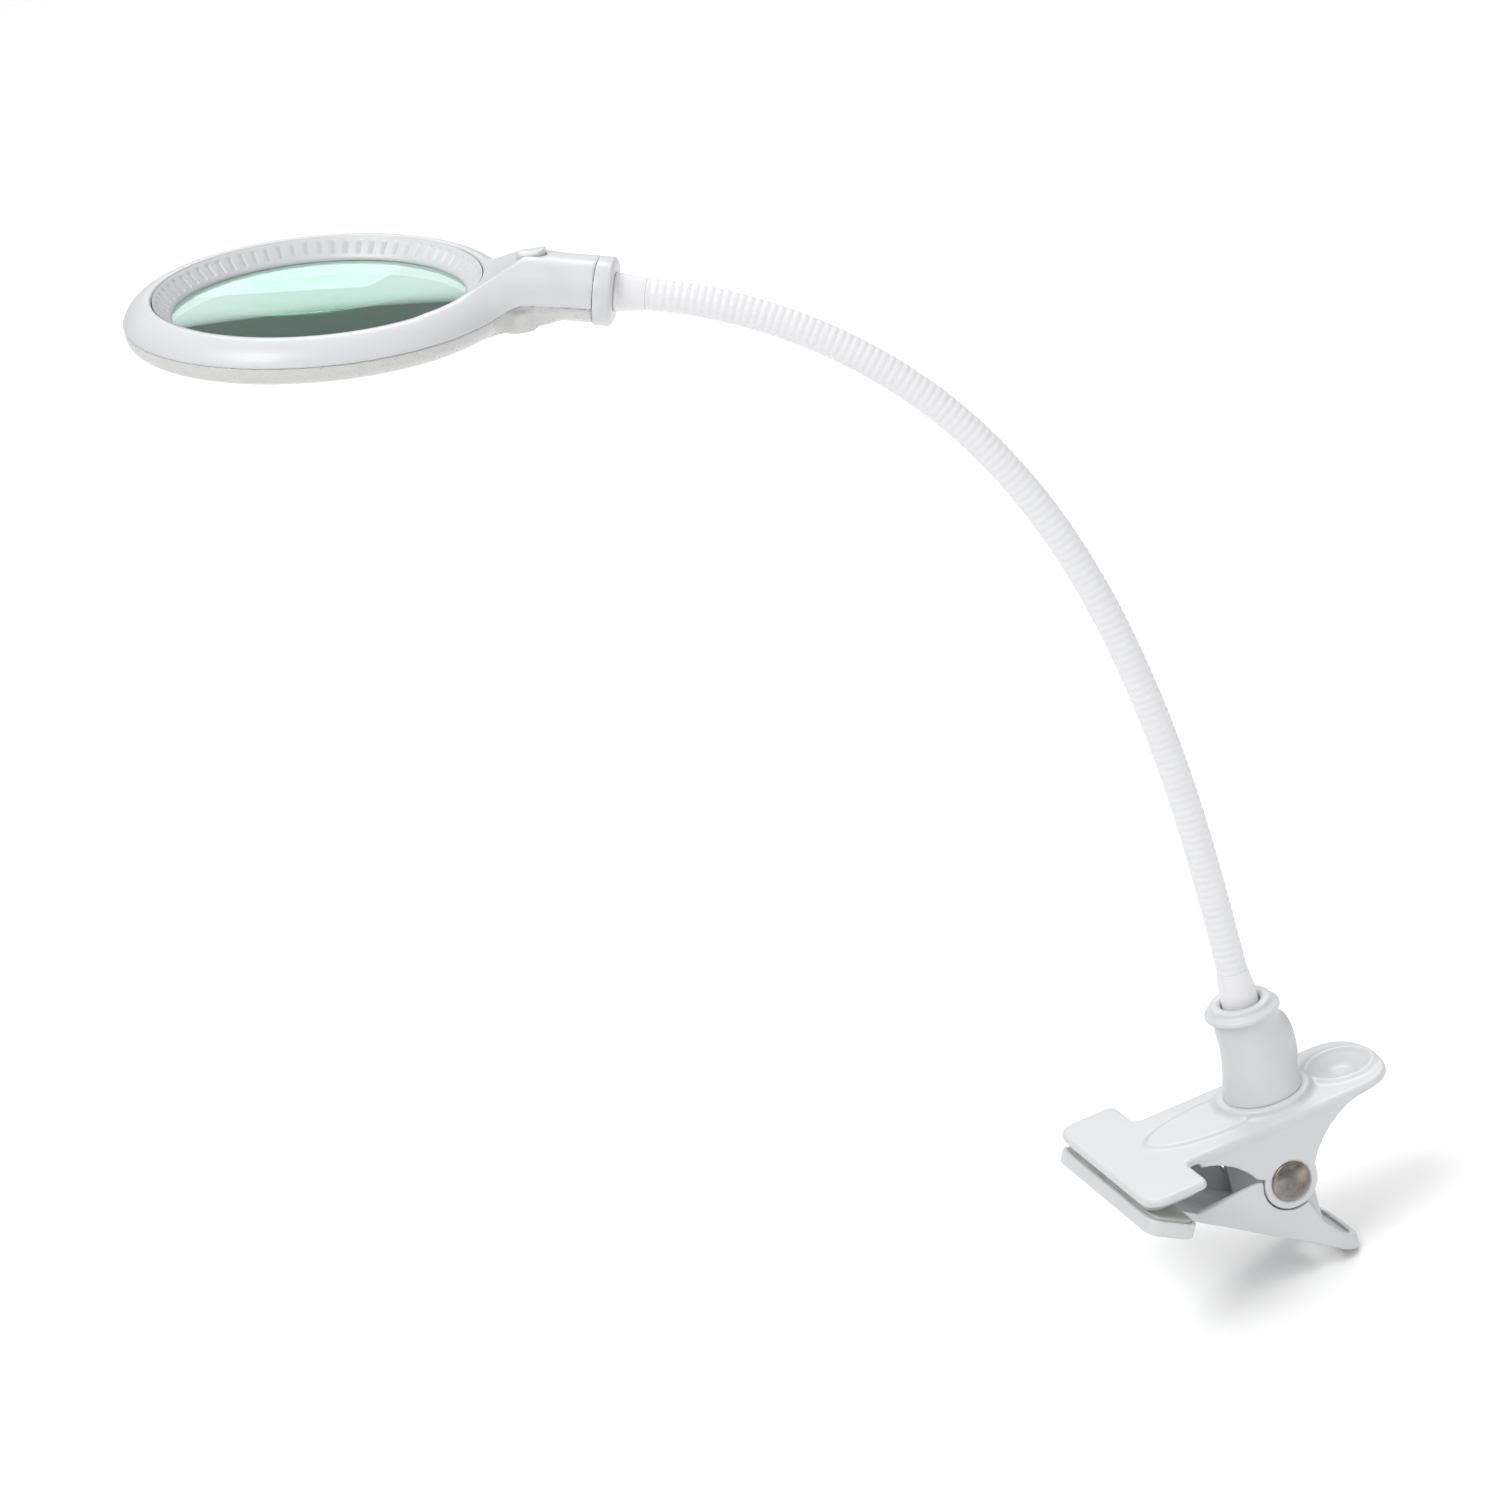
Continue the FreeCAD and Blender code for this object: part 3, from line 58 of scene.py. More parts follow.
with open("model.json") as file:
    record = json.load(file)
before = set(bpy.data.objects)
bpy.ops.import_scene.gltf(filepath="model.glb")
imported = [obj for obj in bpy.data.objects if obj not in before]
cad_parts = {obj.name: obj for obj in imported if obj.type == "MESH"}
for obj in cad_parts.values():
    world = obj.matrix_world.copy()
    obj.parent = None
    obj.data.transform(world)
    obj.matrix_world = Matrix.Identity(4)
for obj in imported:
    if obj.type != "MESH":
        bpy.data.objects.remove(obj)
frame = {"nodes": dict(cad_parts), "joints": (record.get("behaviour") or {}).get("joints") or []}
CAD_BOX = [list(corner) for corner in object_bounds()]
JOINTS = {joint["name"]: joint for joint in frame["joints"]}
MM = 0.001


# ---- colours, numbers and vectors ----


def linear(code):
    """Turns an sRGB hex colour into linear light, channel by channel."""
    channels = [int(code[i:i + 2], 16) / 255 for i in (1, 3, 5)]
    return [c / 12.92 if c <= 0.04045 else ((c + 0.055) / 1.055) ** 2.4 for c in channels]


def place_of(name):
    """A joint's point, in millimetres."""
    return np.array(JOINTS[name]["pos_m"]) * 1000


def unit(vector):
    """The vector over its length."""
    return np.asarray(vector, float) / np.linalg.norm(vector)


def smooth_step(t):
    """3 t^2 - 2 t^3: rises from 0 to 1 as t does, level at both ends."""
    t = np.clip(t, 0, 1)
    return t * t * (3 - 2 * t)


# ---- outlines and solid fields ----


def arc_points(start, end, radius, steps=8):
    """Points after start up to end on a circular arc.

    The centre stands sqrt(radius^2 - chord^2 / 4) left of the chord's middle, or right of it where
    the radius is negative.
    """
    start, end = np.asarray(start, float), np.asarray(end, float)
    travel = end - start
    chord = np.hypot(*travel)
    left = np.array([-travel[1], travel[0]]) / chord
    rise = math.sqrt(max(radius * radius - chord * chord / 4, 0))
    centre = (start + end) / 2 + left * rise * math.copysign(1, radius)
    first, last = start - centre, end - centre
    low = math.atan2(first[1], first[0])
    turn = (math.atan2(last[1], last[0]) - low + math.pi) % (2 * math.pi) - math.pi
    angles = low + turn * np.arange(1, steps + 1) / steps
    return centre + abs(radius) * np.stack([np.cos(angles), np.sin(angles)], 1)


def outline(corners, steps=8):
    """A closed outline from (x, y) corners; a third number is the radius of the edge that ends there."""
    points = [np.array([corners[0][:2]], float)]
    for before, corner in zip(corners, corners[1:]):
        if len(corner) == 3:
            points.append(arc_points(before[:2], corner[:2], corner[2], steps))
        else:
            points.append(np.array([corner], float))
    return np.concatenate(points)


def softened(points, radius, steps=5):
    """An outline with each corner cut back along both edges and curved between the cuts.

    The curve is first (1 - t)^2 + 2 corner t (1 - t) + last t^2.
    """
    points = np.asarray(points, float)
    back, ahead = np.roll(points, 1, 0) - points, np.roll(points, -1, 0) - points
    back_length, ahead_length = np.hypot(*back.T), np.hypot(*ahead.T)
    reach = np.minimum(np.minimum(back_length, ahead_length) / 2.01, radius)[:, None]
    first = points + back / back_length[:, None] * reach
    last = points + ahead / ahead_length[:, None] * reach
    t = np.linspace(0, 1, steps)[None, :, None]
    curve = first[:, None] * (1 - t) ** 2 + points[:, None] * 2 * t * (1 - t) + last[:, None] * t ** 2
    return curve.reshape(-1, 2)


def outline_distance(points, x, y):
    """Signed distance to a closed outline's nearest edge.

    It is negative inside, where a level ray crosses the outline an odd number of times.
    """
    best, inside = np.inf, False
    for (ax, ay), (bx, by) in zip(points, np.roll(points, -1, 0)):
        ex, ey = bx - ax, by - ay
        along = np.clip(((x - ax) * ex + (y - ay) * ey) / max(ex * ex + ey * ey, 1e-9), 0, 1)
        best = np.minimum(best, (x - ax - ex * along) ** 2 + (y - ay - ey * along) ** 2)
        rise = ey if abs(ey) > 1e-9 else 1e-9
        crosses = ((ay > y) != (by > y)) & (x < ex * (y - ay) / rise + ax)
        inside = inside ^ crosses
    return np.where(inside, -1, 1) * np.sqrt(best)


def corner_distance(u, v, corner):
    """Distance to where two fields are both negative, with the corner between them rounded.

    With u and v grown by the corner's radius: min(max(u, v), 0) + |(max(u, 0), max(v, 0))| - radius.
    """
    u, v = u + corner, v + corner
    return np.minimum(np.maximum(u, v), 0) + np.hypot(np.maximum(u, 0), np.maximum(v, 0)) - corner


def rectangle_distance(x, y, half_x, half_y, corner):
    """Signed distance to a rectangle with rounded corners, centred on the origin."""
    return corner_distance(np.abs(x) - half_x, np.abs(y) - half_y, corner)


def prism(flat, across, half, edge):
    """A flat outline's distance carried across a thickness, its rims rounded by the edge radius."""
    return corner_distance(flat, np.abs(across) - half, edge)


def slab(flat, across, low, high, edge):
    """A prism between two levels."""
    return prism(flat, across - (low + high) / 2, (high - low) / 2, edge)


def merge(first, second, soft):
    """Union of two fields with a fillet: min(a, b) - soft c^2 / 4, c = max(soft - |a - b|, 0) / soft."""
    close = np.maximum(soft - np.abs(first - second), 0) / soft
    return np.minimum(first, second) - close * close * soft / 4


def carve(solid, room, soft):
    """The solid without the room, with the cut's rim softened."""
    return -merge(-solid, room, soft)


# ---- meshes ----


def mesh_piece(name, points, faces, material, placed=None, sharp=40.0):
    """Makes an object at the origin from points in millimetres, placed by a 4 x 4 array."""
    points = np.asarray(points, float)
    if placed is not None:
        points = points @ placed[:3, :3].T + placed[:3, 3]
    mesh = bpy.data.meshes.new(name)
    mesh.from_pydata((points * MM).tolist(), [], np.asarray(faces).tolist())
    mesh.materials.append(material)
    piece = bpy.data.objects.new(name, mesh)
    bpy.context.scene.collection.objects.link(piece)
    finish_mesh(mesh, sharp)
    return piece


def finish_mesh(mesh, sharp):
    """Merges doubles, turns the faces outwards and shades smooth with crisp edges past an angle."""
    work = bmesh.new()
    work.from_mesh(mesh)
    bmesh.ops.remove_doubles(work, verts=work.verts, dist=2e-6)
    bmesh.ops.dissolve_degenerate(work, edges=work.edges, dist=1e-7)
    bmesh.ops.recalc_face_normals(work, faces=work.faces)
    work.to_mesh(mesh)
    work.free()
    mesh.shade_smooth()
    mesh.set_sharp_from_angle(angle=math.radians(sharp))
    mesh.update()


def grid_faces(rows, columns, wrap_rows=False, wrap_columns=True):
    """Quads between neighbours on a grid of points stored row by row."""
    i = np.arange(rows if wrap_rows else rows - 1)[:, None]
    j = np.arange(columns if wrap_columns else columns - 1)[None, :]
    down, right = (i + 1) % rows, (j + 1) % columns
    corners = [i * columns + j, i * columns + right, down * columns + right, down * columns + j]
    return np.stack(np.broadcast_arrays(*corners), -1).reshape(-1, 4)


def lathe(profile, count=96, wrap=True):
    """Points (r cos a, r sin a, h) of an (r, h) profile turned about Z, and the quads between them."""
    profile = np.asarray(profile, float)
    angle = np.arange(count) * 2 * math.pi / count
    r, h = profile[:, 0][:, None], profile[:, 1][:, None]
    points = np.stack([r * np.cos(angle), r * np.sin(angle), h + 0 * angle], -1).reshape(-1, 3)
    return points, grid_faces(len(profile), count, wrap_rows=wrap)


def tube(path, tangent, side, radius, count):
    """Circles round a path: its points + radius (side cos a + (tangent x side) sin a)."""
    other = np.cross(tangent, side)
    angle = np.arange(count) * 2 * math.pi / count
    ring = (np.cos(angle)[None, :, None] * side[:, None]
            + np.sin(angle)[None, :, None] * other[:, None])
    return (path[:, None] + ring * np.asarray(radius)[:, None, None]).reshape(-1, 3)


def skin(name, field, low, high, step, material, placed=None, sharp=50.0):
    """The zero level of a field of signed distance, as quads.

    The field is sampled on a grid. Every cell that the level crosses gets one point, the mean of the
    crossings on its edges, slid once along the field's slope on to the level. Every grid edge that
    the level crosses gets one quad, which joins the four cells round it.
    """
    axes = [np.arange(a, b + step, step) for a, b in zip(low, high)]
    values = field(axes[0][:, None, None], axes[1][None, :, None], axes[2][None, None, :])
    inside = values < 0
    corner_count = sum(
        inside[i:len(axes[0]) - 1 + i, j:len(axes[1]) - 1 + j, k:len(axes[2]) - 1 + k].astype(np.int8)
        for i in (0, 1) for j in (0, 1) for k in (0, 1)
    )
    cells = np.argwhere((corner_count > 0) & (corner_count < 8))
    number = np.full(corner_count.shape, -1, np.int64)
    number[tuple(cells.T)] = np.arange(len(cells))
    total, hits = np.zeros((len(cells), 3)), np.zeros(len(cells))
    for axis in range(3):
        for shift in ((0, 0), (0, 1), (1, 0), (1, 1)):
            start = np.insert(np.array(shift), axis, 0)
            one, two = cells + start, cells + start + np.eye(3, dtype=int)[axis]
            a, b = values[tuple(one.T)], values[tuple(two.T)]
            cut = (a < 0) != (b < 0)
            share = np.where(cut, a / np.where(cut, a - b, 1), 0)
            point = one + share[:, None] * np.eye(3)[axis]
            total += np.where(cut[:, None], point, 0)
            hits += cut
    points = total / hits[:, None] * step + np.array([axis[0] for axis in axes])
    nudge, least_slope = 0.02, 0.3
    here = field(*points.T)
    slope = np.stack([field(*(points + nudge * np.eye(3)[k]).T) - here for k in range(3)], 1) / nudge
    shift = here[:, None] * slope / np.maximum((slope ** 2).sum(1), least_slope)[:, None]
    points = points - np.clip(shift, -step / 2, step / 2)
    quads = []
    for axis in range(3):
        one = [slice(None)] * 3
        two = [slice(None)] * 3
        one[axis], two[axis] = slice(0, -1), slice(1, None)
        changed = inside[tuple(one)] != inside[tuple(two)]
        at = np.argwhere(changed)
        across = [k for k in range(3) if k != axis]
        kept = np.all(at[:, across] > 0, 1) & np.all(
            at[:, across] < np.array([corner_count.shape[k] for k in across]), 1)
        at = at[kept]
        steps = np.zeros((4, 3), int)
        steps[:, across[0]], steps[:, across[1]] = (-1, 0, 0, -1), (-1, -1, 0, 0)
        quad = np.stack([number[tuple((at + s).T)] for s in steps], 1)
        flip = inside[tuple(at.T)] ^ (axis == 1)
        quads.append(np.where(flip[:, None], quad, quad[:, ::-1]))
    return mesh_piece(name, points, np.concatenate(quads), material, placed, sharp)


# ---- finishes ----


def add(tree, kind, links=None, **settings):
    """Adds a node, sets its sockets and properties by name, and links other sockets into it."""
    node = tree.nodes.new(kind)
    for key, value in settings.items():
        if key in node.inputs:
            node.inputs[key].default_value = value
        else:
            setattr(node, key, value)
    for key, source in (links or {}).items():
        tree.links.new(source, node.inputs[key])
    return node


def start_finish(name, colour, **settings):
    """A new material with one Principled shader: (material, tree, shader, object coordinates)."""
    material = bpy.data.materials.new(name)
    material.use_nodes = True
    tree = material.node_tree
    shader = tree.nodes["Principled BSDF"]
    shader.inputs["Base Color"].default_value = (*colour, 1)
    for key, value in settings.items():
        shader.inputs[key.replace("_", " ")].default_value = value
    return material, tree, shader, add(tree, "ShaderNodeTexCoord").outputs["Object"]


def pebbled(tree, shader, where, grain, depth, strength, detail=2.0):
    """Bump from noise whose lumps are grain metres wide and depth metres high."""
    noise = add(tree, "ShaderNodeTexNoise", {"Vector": where}, Scale=1 / grain, Detail=detail)
    bump = add(tree, "ShaderNodeBump", {"Height": noise.outputs["Fac"]},
               Strength=strength, Distance=depth)
    tree.links.new(bump.outputs["Normal"], shader.inputs["Normal"])


def uneven(tree, shader, where, socket, size, low, high):
    """Varies one of the shader's numbers between low and high in patches of a size in metres."""
    noise = add(tree, "ShaderNodeTexNoise", {"Vector": where}, Scale=1 / size, Detail=3.0)
    spread = add(tree, "ShaderNodeMapRange", {"Value": noise.outputs["Fac"]})
    for key, value in (("From Min", 0.3), ("From Max", 0.7), ("To Min", low), ("To Max", high)):
        spread.inputs[key].default_value = value
    tree.links.new(spread.outputs["Result"], shader.inputs[socket])


def tinted(tree, shader, where, colour, size, first, second):
    """Drifts the base colour between two strengths of it in patches of a size in metres."""
    noise = add(tree, "ShaderNodeTexNoise", {"Vector": where}, Scale=1 / size, Detail=3.0)
    ramp = add(tree, "ShaderNodeValToRGB", {"Fac": noise.outputs["Fac"]})
    ramp.color_ramp.elements[0].position, ramp.color_ramp.elements[1].position = 0.35, 0.65
    for element, strength in zip(ramp.color_ramp.elements, (first, second)):
        element.color = (*(c * strength for c in colour), 1)
    tree.links.new(ramp.outputs["Color"], shader.inputs["Base Color"])


def brushed_nickel(name, colours):
    """Nickel-plated rivet head, tumbled then brushed: warm grey with fine streaks along one way."""
    material, tree, shader, where = start_finish(name, colours.nickel, Roughness=0.34, Metallic=1.0)
    # Real brush marks are 0.05 mm apart. They are drawn 0.25 mm apart, so that they show.
    streaks = add(tree, "ShaderNodeMapping", {"Vector": where}, Scale=(0.12, 1.0, 1.0))
    pebbled(tree, shader, streaks.outputs["Vector"], 0.00025, 0.00002, 0.25, 3.0)
    uneven(tree, shader, streaks.outputs["Vector"], "Roughness", 0.0015, 0.24, 0.42)
    # Broad patches bring the nickel down to 0.45 of its colour: painted shade, standing in for the
    # darker shaded side of the domed head.
    tinted(tree, shader, where, colours.nickel, 0.007, 0.45, 1.0)
    return material


def ground_glass(name, colours):
    """Polished crown glass with a green cast: clear face on, deep green along its long paths."""
    material, tree, shader, where = start_finish(
        name, colours.cast, Roughness=0.0, IOR=1.52, Transmission_Weight=0.97)
    shader.inputs["Specular Tint"].default_value = (*colours.glass, 1.0)
    # A polished face still ripples by a hair over a few millimetres, which keeps reflections alive.
    pebbled(tree, shader, where, 0.02, 0.00001, 0.05)
    depth = add(tree, "ShaderNodeVolumeAbsorption", Color=(*colours.glass, 1.0), Density=25.0)
    tree.links.new(depth.outputs["Volume"], tree.nodes["Material Output"].inputs["Volume"])
    return material


# Each finish's material, colour, shader settings, grain (width, depth, strength), patches of uneven
# roughness (size, low, high) and tint (size, first strength, second strength), in metres.
FINISHES = {
    # Injection-moulded ABS: a satin skin whose faint spark-eroded grain softens each highlight.
    "abs": ("moulded_abs_white", "housing",
            dict(Roughness=0.36, IOR=1.53, Coat_Weight=0.12, Coat_Roughness=0.3),
            (0.0006, 0.00002, 0.25), (0.02, 0.33, 0.40), (0.03, 1.0, 0.975)),
    # PVC sleeve drawn over the gooseneck: whiter than the housings, with a broad waxy highlight.
    "pvc": ("extruded_pvc_white", "sleeve",
            dict(Roughness=0.42, IOR=1.53, Sheen_Weight=0.05, Subsurface_Weight=0.08,
                 Subsurface_Scale=0.001),
            (0.0009, 0.00002, 0.25), (0.015, 0.38, 0.48), None),
    # Pressed silicone: light sinks in and comes back cloudy, with a dull dusty skin.
    "silicone": ("pressed_silicone_grey", "pad",
                 dict(Roughness=0.45, IOR=1.41, Transmission_Weight=0.12),
                 (0.0012, 0.00005, 0.4), (0.006, 0.35, 0.6), (0.012, 1.0, 0.8)),
    # Drawn and oil-tempered wire, screws and gooseneck coil: dark grey with soft uneven gloss.
    "steel": ("drawn_steel", "steel", dict(Roughness=0.35, Metallic=1.0),
              (0.0004, 0.00001, 0.3), (0.004, 0.25, 0.45), None),
    # Frosted polycarbonate with 0.7 mm moulded prisms: nearly opaque, with a faint grey mottle.
    "frost": ("frosted_polycarbonate", "frost",
              dict(Roughness=0.45, IOR=1.58, Transmission_Weight=0.08),
              (0.0007, 0.0001, 0.15), (0.003, 0.2, 0.5), (0.0012, 0.94, 1.0)),
    # Glass-filled nylon, moulded black: deep grey with a dull gloss.
    "black": ("moulded_nylon_black", "black", dict(Roughness=0.45, IOR=1.52),
              (0.0004, 0.00002, 0.3), (0.004, 0.38, 0.55), None),
    # Solder-masked circuit board: flat and a little glossy.
    "board": ("masked_board_white", "board", dict(Roughness=0.4, IOR=1.5),
              (0.0008, 0.00002, 0.3), None, (0.006, 1.0, 0.92)),
    # Unlit LED packages: pale yellow phosphor cast in a white cup.
    "phosphor": ("cast_phosphor", "phosphor", dict(Roughness=0.3, IOR=1.5),
                 (0.0005, 0.00003, 0.3), None, (0.001, 1.0, 0.85)),
}
OWN_FINISHES = {
    "nickel": ("brushed_nickel", brushed_nickel),
    "glass": ("ground_crown_glass", ground_glass),
}


def finish(key):
    """The material for a finish, made the first time that it is asked for."""
    colours = bpy.context.scene.lamp_colours
    if key in OWN_FINISHES:
        name, make = OWN_FINISHES[key]
        return bpy.data.materials.get(name) or make(name, colours)
    name, colour, settings, grain, patches, tint = FINISHES[key]
    if name in bpy.data.materials:
        return bpy.data.materials[name]
    colour = getattr(colours, colour)
    material, tree, shader, where = start_finish(name, colour, **settings)
    pebbled(tree, shader, where, *grain)
    if patches:
        uneven(tree, shader, where, "Roughness", *patches)
    if tint:
        tinted(tree, shader, where, colour, *tint)
    return material


# ---- where the head and handle are ----

HEADING = math.radians(28)
OUTWARD = np.array([-math.cos(HEADING), math.sin(HEADING), 0])
SIDEWAYS = np.array([math.sin(HEADING), math.cos(HEADING), 0])
CHAIN_NAMES = [
    "neck_bend_1", "neck_sway_2", "neck_bend_3", "neck_sway_4", "neck_bend_5", "neck_sway_6",
    "neck_bend_7", "neck_sway_8", "head_tilt",
]
# The neck's climb over the level at each joint, in degrees, then the head's.
CLIMBS = [90, 88.4, 84.5, 79.4, 71.4, 60.0, 45.4, 32.0, 18.0]
HEAD_CLIMB = 11.4
SEGMENT, NECK_RADIUS, TILT_TO_HANDLE = 39.0, 5.0, 11.4


def lean(degrees):
    """OUTWARD cos a + Z sin a: a unit vector in the neck's plane at an angle over the level."""
    turn = np.radians(degrees)
    return np.multiply.outer(np.cos(turn), OUTWARD) + np.multiply.outer(np.sin(turn), [0, 0, 1.0])


def stand(origin, climb):
    """A 4 x 4 placement whose X runs back along the neck's line and Z stands square to it."""
    placed = np.eye(4)
    placed[:3, 0], placed[:3, 1], placed[:3, 2] = -lean(climb), SIDEWAYS, lean(climb + 90)
    placed[:3, 3] = origin
    return placed


HANDLE = stand(place_of("head_tilt") + TILT_TO_HANDLE * lean(CLIMBS[-1]), CLIMBS[-1])
HEAD_TURN = stand((0, 0, 0), HEAD_CLIMB)
HEAD = stand(HANDLE[:3, 3] - HEAD_TURN[:3, :3] @ (93.8, 0, 1.6), HEAD_CLIMB)
HANDLE_IN_HEAD = np.linalg.inv(HEAD) @ HANDLE
PIVOT = place_of("jaw_hinge")
POST_X, BOSS_TOP, INLET_Z, PIN_HOLE = 50.0, 8.15, 24.65, 2.55
RING_INSIDE, HANDLE_FLAT, HANDLE_RADIUS = 51.95, 1.8, 10.2
# The covers end at COVER_END on the handle, and the button stands at BUTTON_X, both from its end.
COVER_END, BUTTON_X = 5.75, 26.8


def within(placed, x, y, z):
    """Coordinates turned into a placement's own, by its inverse array."""
    back = np.linalg.inv(placed)
    return tuple(back[i, 0] * x + back[i, 1] * y + back[i, 2] * z + back[i, 3] for i in range(3))


def oval_section(y, z, radius):
    """Distance to a circle of a radius drawn out flat by HANDLE_FLAT to each side."""
    return np.hypot(np.maximum(np.abs(y) - HANDLE_FLAT, 0), z) - radius


# ---- shapes ----


def from_pin(x, z):
    """Distance from the pivot pin's line."""
    return np.hypot(x - PIVOT[0], z - PIVOT[2])


def softened_half(corners):
    """Half an outline, each corner cut back by its third number and curved as in softened."""
    points = np.array([c[:2] for c in corners], float)
    made = [points[:1]]
    radii = [c[2] for c in corners[1:]]
    for before, here, after, radius in zip(points, points[1:], points[2:], radii):
        back, ahead = before - here, after - here
        cut_back = min(radius, np.hypot(*back) * 0.49)
        cut_ahead = min(radius, np.hypot(*ahead) * 0.49)
        first, last = here + unit(back) * cut_back, here + unit(ahead) * cut_ahead
        t = np.linspace(0, 1, 9)[:, None]
        made.append(first * (1 - t) ** 2 + here * 2 * t * (1 - t) + last * t ** 2)
    made.append(points[-1:])
    return np.concatenate(made)


def plate_outline():
    """Plan of the upper plate: wide jaw, waist behind it and a round thumb paddle."""
    half = softened_half([
        (-10.7, 0, 0), (-10.7, 36.5, 8), (11.0, 36.5, 3.0), (11.0, 19.5, 3.0), (74.0, 19.5, 0.1),
    ])
    turn = np.linspace(math.pi / 2, 0, 15)[1:]
    paddle = [74 + 17 * np.cos(turn) ** 0.74, 19.5 * np.abs(np.sin(turn)) ** 0.74]
    half = np.concatenate([half, np.stack(paddle, 1)])
    return np.concatenate([half, half[::-1][1:-1] * (1, -1)])


def upper_field(x, y, z):
    """Upper shell: plate, raised oval, post boss, thumb dish and two ears, joined with fillets."""
    plan = outline_distance(plate_outline(), x, y)
    dish = np.hypot(x - 78.3, y)
    brim = 1.0 * np.exp(-((dish - 11.2) / 1.6) ** 2)
    bowl = 2.3 * (1 - smooth_step((dish - 2.0) / 8.0))
    oval = np.hypot((x - 34.0) / 28.0, y / 12.0)
    swell = 0.8 * (1 - smooth_step((oval - 0.93) / 0.1))
    top = 5.1 + brim - bowl + swell
    plate = prism(plan, z - (top + 2.2) / 2, (top - 2.2) / 2, 1.15)
    boss = slab(np.hypot(x - POST_X, y) - 15.8, z, 3.0, BOSS_TOP, 0.8)
    shell = merge(plate, boss, 3.0)
    side = outline([
        (15.6, 3.4), (16.0, 0.6), (33.6, -11.6, -26.0), (36.2, -13.0),
        (PIVOT[0] - 9.55, PIVOT[2] + 1.0), (PIVOT[0], PIVOT[2] - 9.6, 9.6),
        (PIVOT[0] + 9.6, PIVOT[2], 9.6), (54.4, -14.0), (82.5, 3.4, -32.0),
    ])
    ear = prism(outline_distance(side, x, z), np.abs(y) - 18.35, 1.15, 0.5)
    shell = merge(shell, ear, 1.2)
    recess = slab(from_pin(x, z) - 7.3, np.abs(y), 18.9, 25.0, 0.15)
    pin = from_pin(x, z) - PIN_HOLE
    return carve(carve(shell, recess, 0.3), pin, 0.2)


def tray_place():
    """Placement of the lower jaw's tray, sloping down to the rear."""
    slope = math.radians(29.4)
    placed = np.eye(4)
    placed[:3, 0] = (math.cos(slope), 0, -math.sin(slope))
    placed[:3, 2] = (math.sin(slope), 0, math.cos(slope))
    placed[:3, 3] = (-13.3, 0, -4.9)
    return placed


FLOOR_START, FLOOR_END = np.array([10.6, -17.5]), np.array([63.8, -52.9])


def over_floor(x, z):
    """Height over the lower shell's sloping floor line, square to it."""
    run = unit(FLOOR_END - FLOOR_START)
    return (x - FLOOR_START[0]) * -run[1] + (z - FLOOR_START[1]) * run[0]


def lower_field(x, y, z):
    """Lower shell: side walls notched round the ears, floor, squeeze loop, inner ears and jaw tray."""
    walls = outline([
        (10.6, -14.3), tuple(FLOOR_START), tuple(FLOOR_END), (66.8, -50.2), (58.5, -43.5),
        (52.6, -36.0), (49.3, -27.6), (PIVOT[0], PIVOT[2]), (33.6, -13.1),
    ])
    side = outline_distance(walls, x, z)
    plan = rectangle_distance(x - 16.8, y, 50.0, 20.5, 15.0)
    block = np.maximum(prism(side, y, 19.5, 0.6), plan)
    rise = over_floor(x, z)
    room = np.maximum(np.maximum(np.abs(y) - 17.2, plan + 2.3), 2.6 - rise)
    shell = carve(block, room, 0.6)
    shell = carve(shell, from_pin(x, z) - 10.1, 0.4)
    strip = np.maximum(np.abs(rise - 1.38) - 1.38, np.maximum(1.6 - x, x - 16.0))
    shell = merge(shell, prism(strip, y, 19.5, 0.3), 0.4)
    disc = from_pin(x, z) - 8.4
    web = outline_distance(outline([
        (PIVOT[0] - 8.4, PIVOT[2]), (PIVOT[0] - 8.4, -33.5), (PIVOT[0] + 8.4, -45.5),
        (PIVOT[0] + 8.4, PIVOT[2]),
    ]), x, z)
    inner = slab(np.minimum(disc, web), np.abs(y), 14.65, 16.85, 0.3)
    inner = np.maximum(inner, 0.5 - rise)
    shell = merge(shell, inner, 0.8)
    shell = carve(shell, from_pin(x, z) - PIN_HOLE, 0.2)
    loop = rectangle_distance(x - 56.5, y, 4.0, 12.0, 3.5)
    shell = carve(shell, loop, 0.8)
    u, v, w = within(tray_place(), x, y, z)
    flat = rectangle_distance(u - 9.0, v, 9.0, 36.5, 5.0)
    tray = slab(flat, w, 0, 5.0, 0.55)
    pocket = slab(rectangle_distance(u - 9.0, v, 7.4, 34.9, 3.4), w, 2.2, 9.0, 0.2)
    keep_off = np.maximum(np.maximum(np.abs(u - 9) - 7.4, np.abs(v) - 34.9), 2.2 - w)
    shell = np.maximum(shell, -keep_off)
    return merge(shell, carve(tray, pocket, 0.3), 0.8)


def post_field(x, y, z):
    """Post: a flare, waist and neck of changing radius, with the inlet's boss grown out of its rear."""
    rise, waist = z - BOSS_TOP, 19.0
    low = 10.2 + 3.23 * (1 - np.clip(rise / waist, 0, 1)) ** 1.7
    high = 10.2 + 0.5 * np.clip((rise - waist) / 10.1, 0, 1) ** 2
    radius = np.where(rise < waist, low, high)
    round_ = np.hypot(x - POST_X, y) - radius
    body = slab(round_ * 0.985, rise, 0.0, 29.1, 0.45)
    drop = np.where(z > INLET_Z, (z - INLET_Z) * 0.86, (z - INLET_Z) * 0.6)
    boss = np.hypot(y, drop) - 6.3 + 0.05 * np.clip(x - POST_X, 0, 14)
    boss = np.maximum(prism(boss, x - 56.8, 6.8, 0.8), 48.0 - x)
    return carve(merge(body, boss, 6.0), slab(np.hypot(y, z - INLET_Z) - 4.45, x, 53.0, 70.0, 0.1), 0.4)


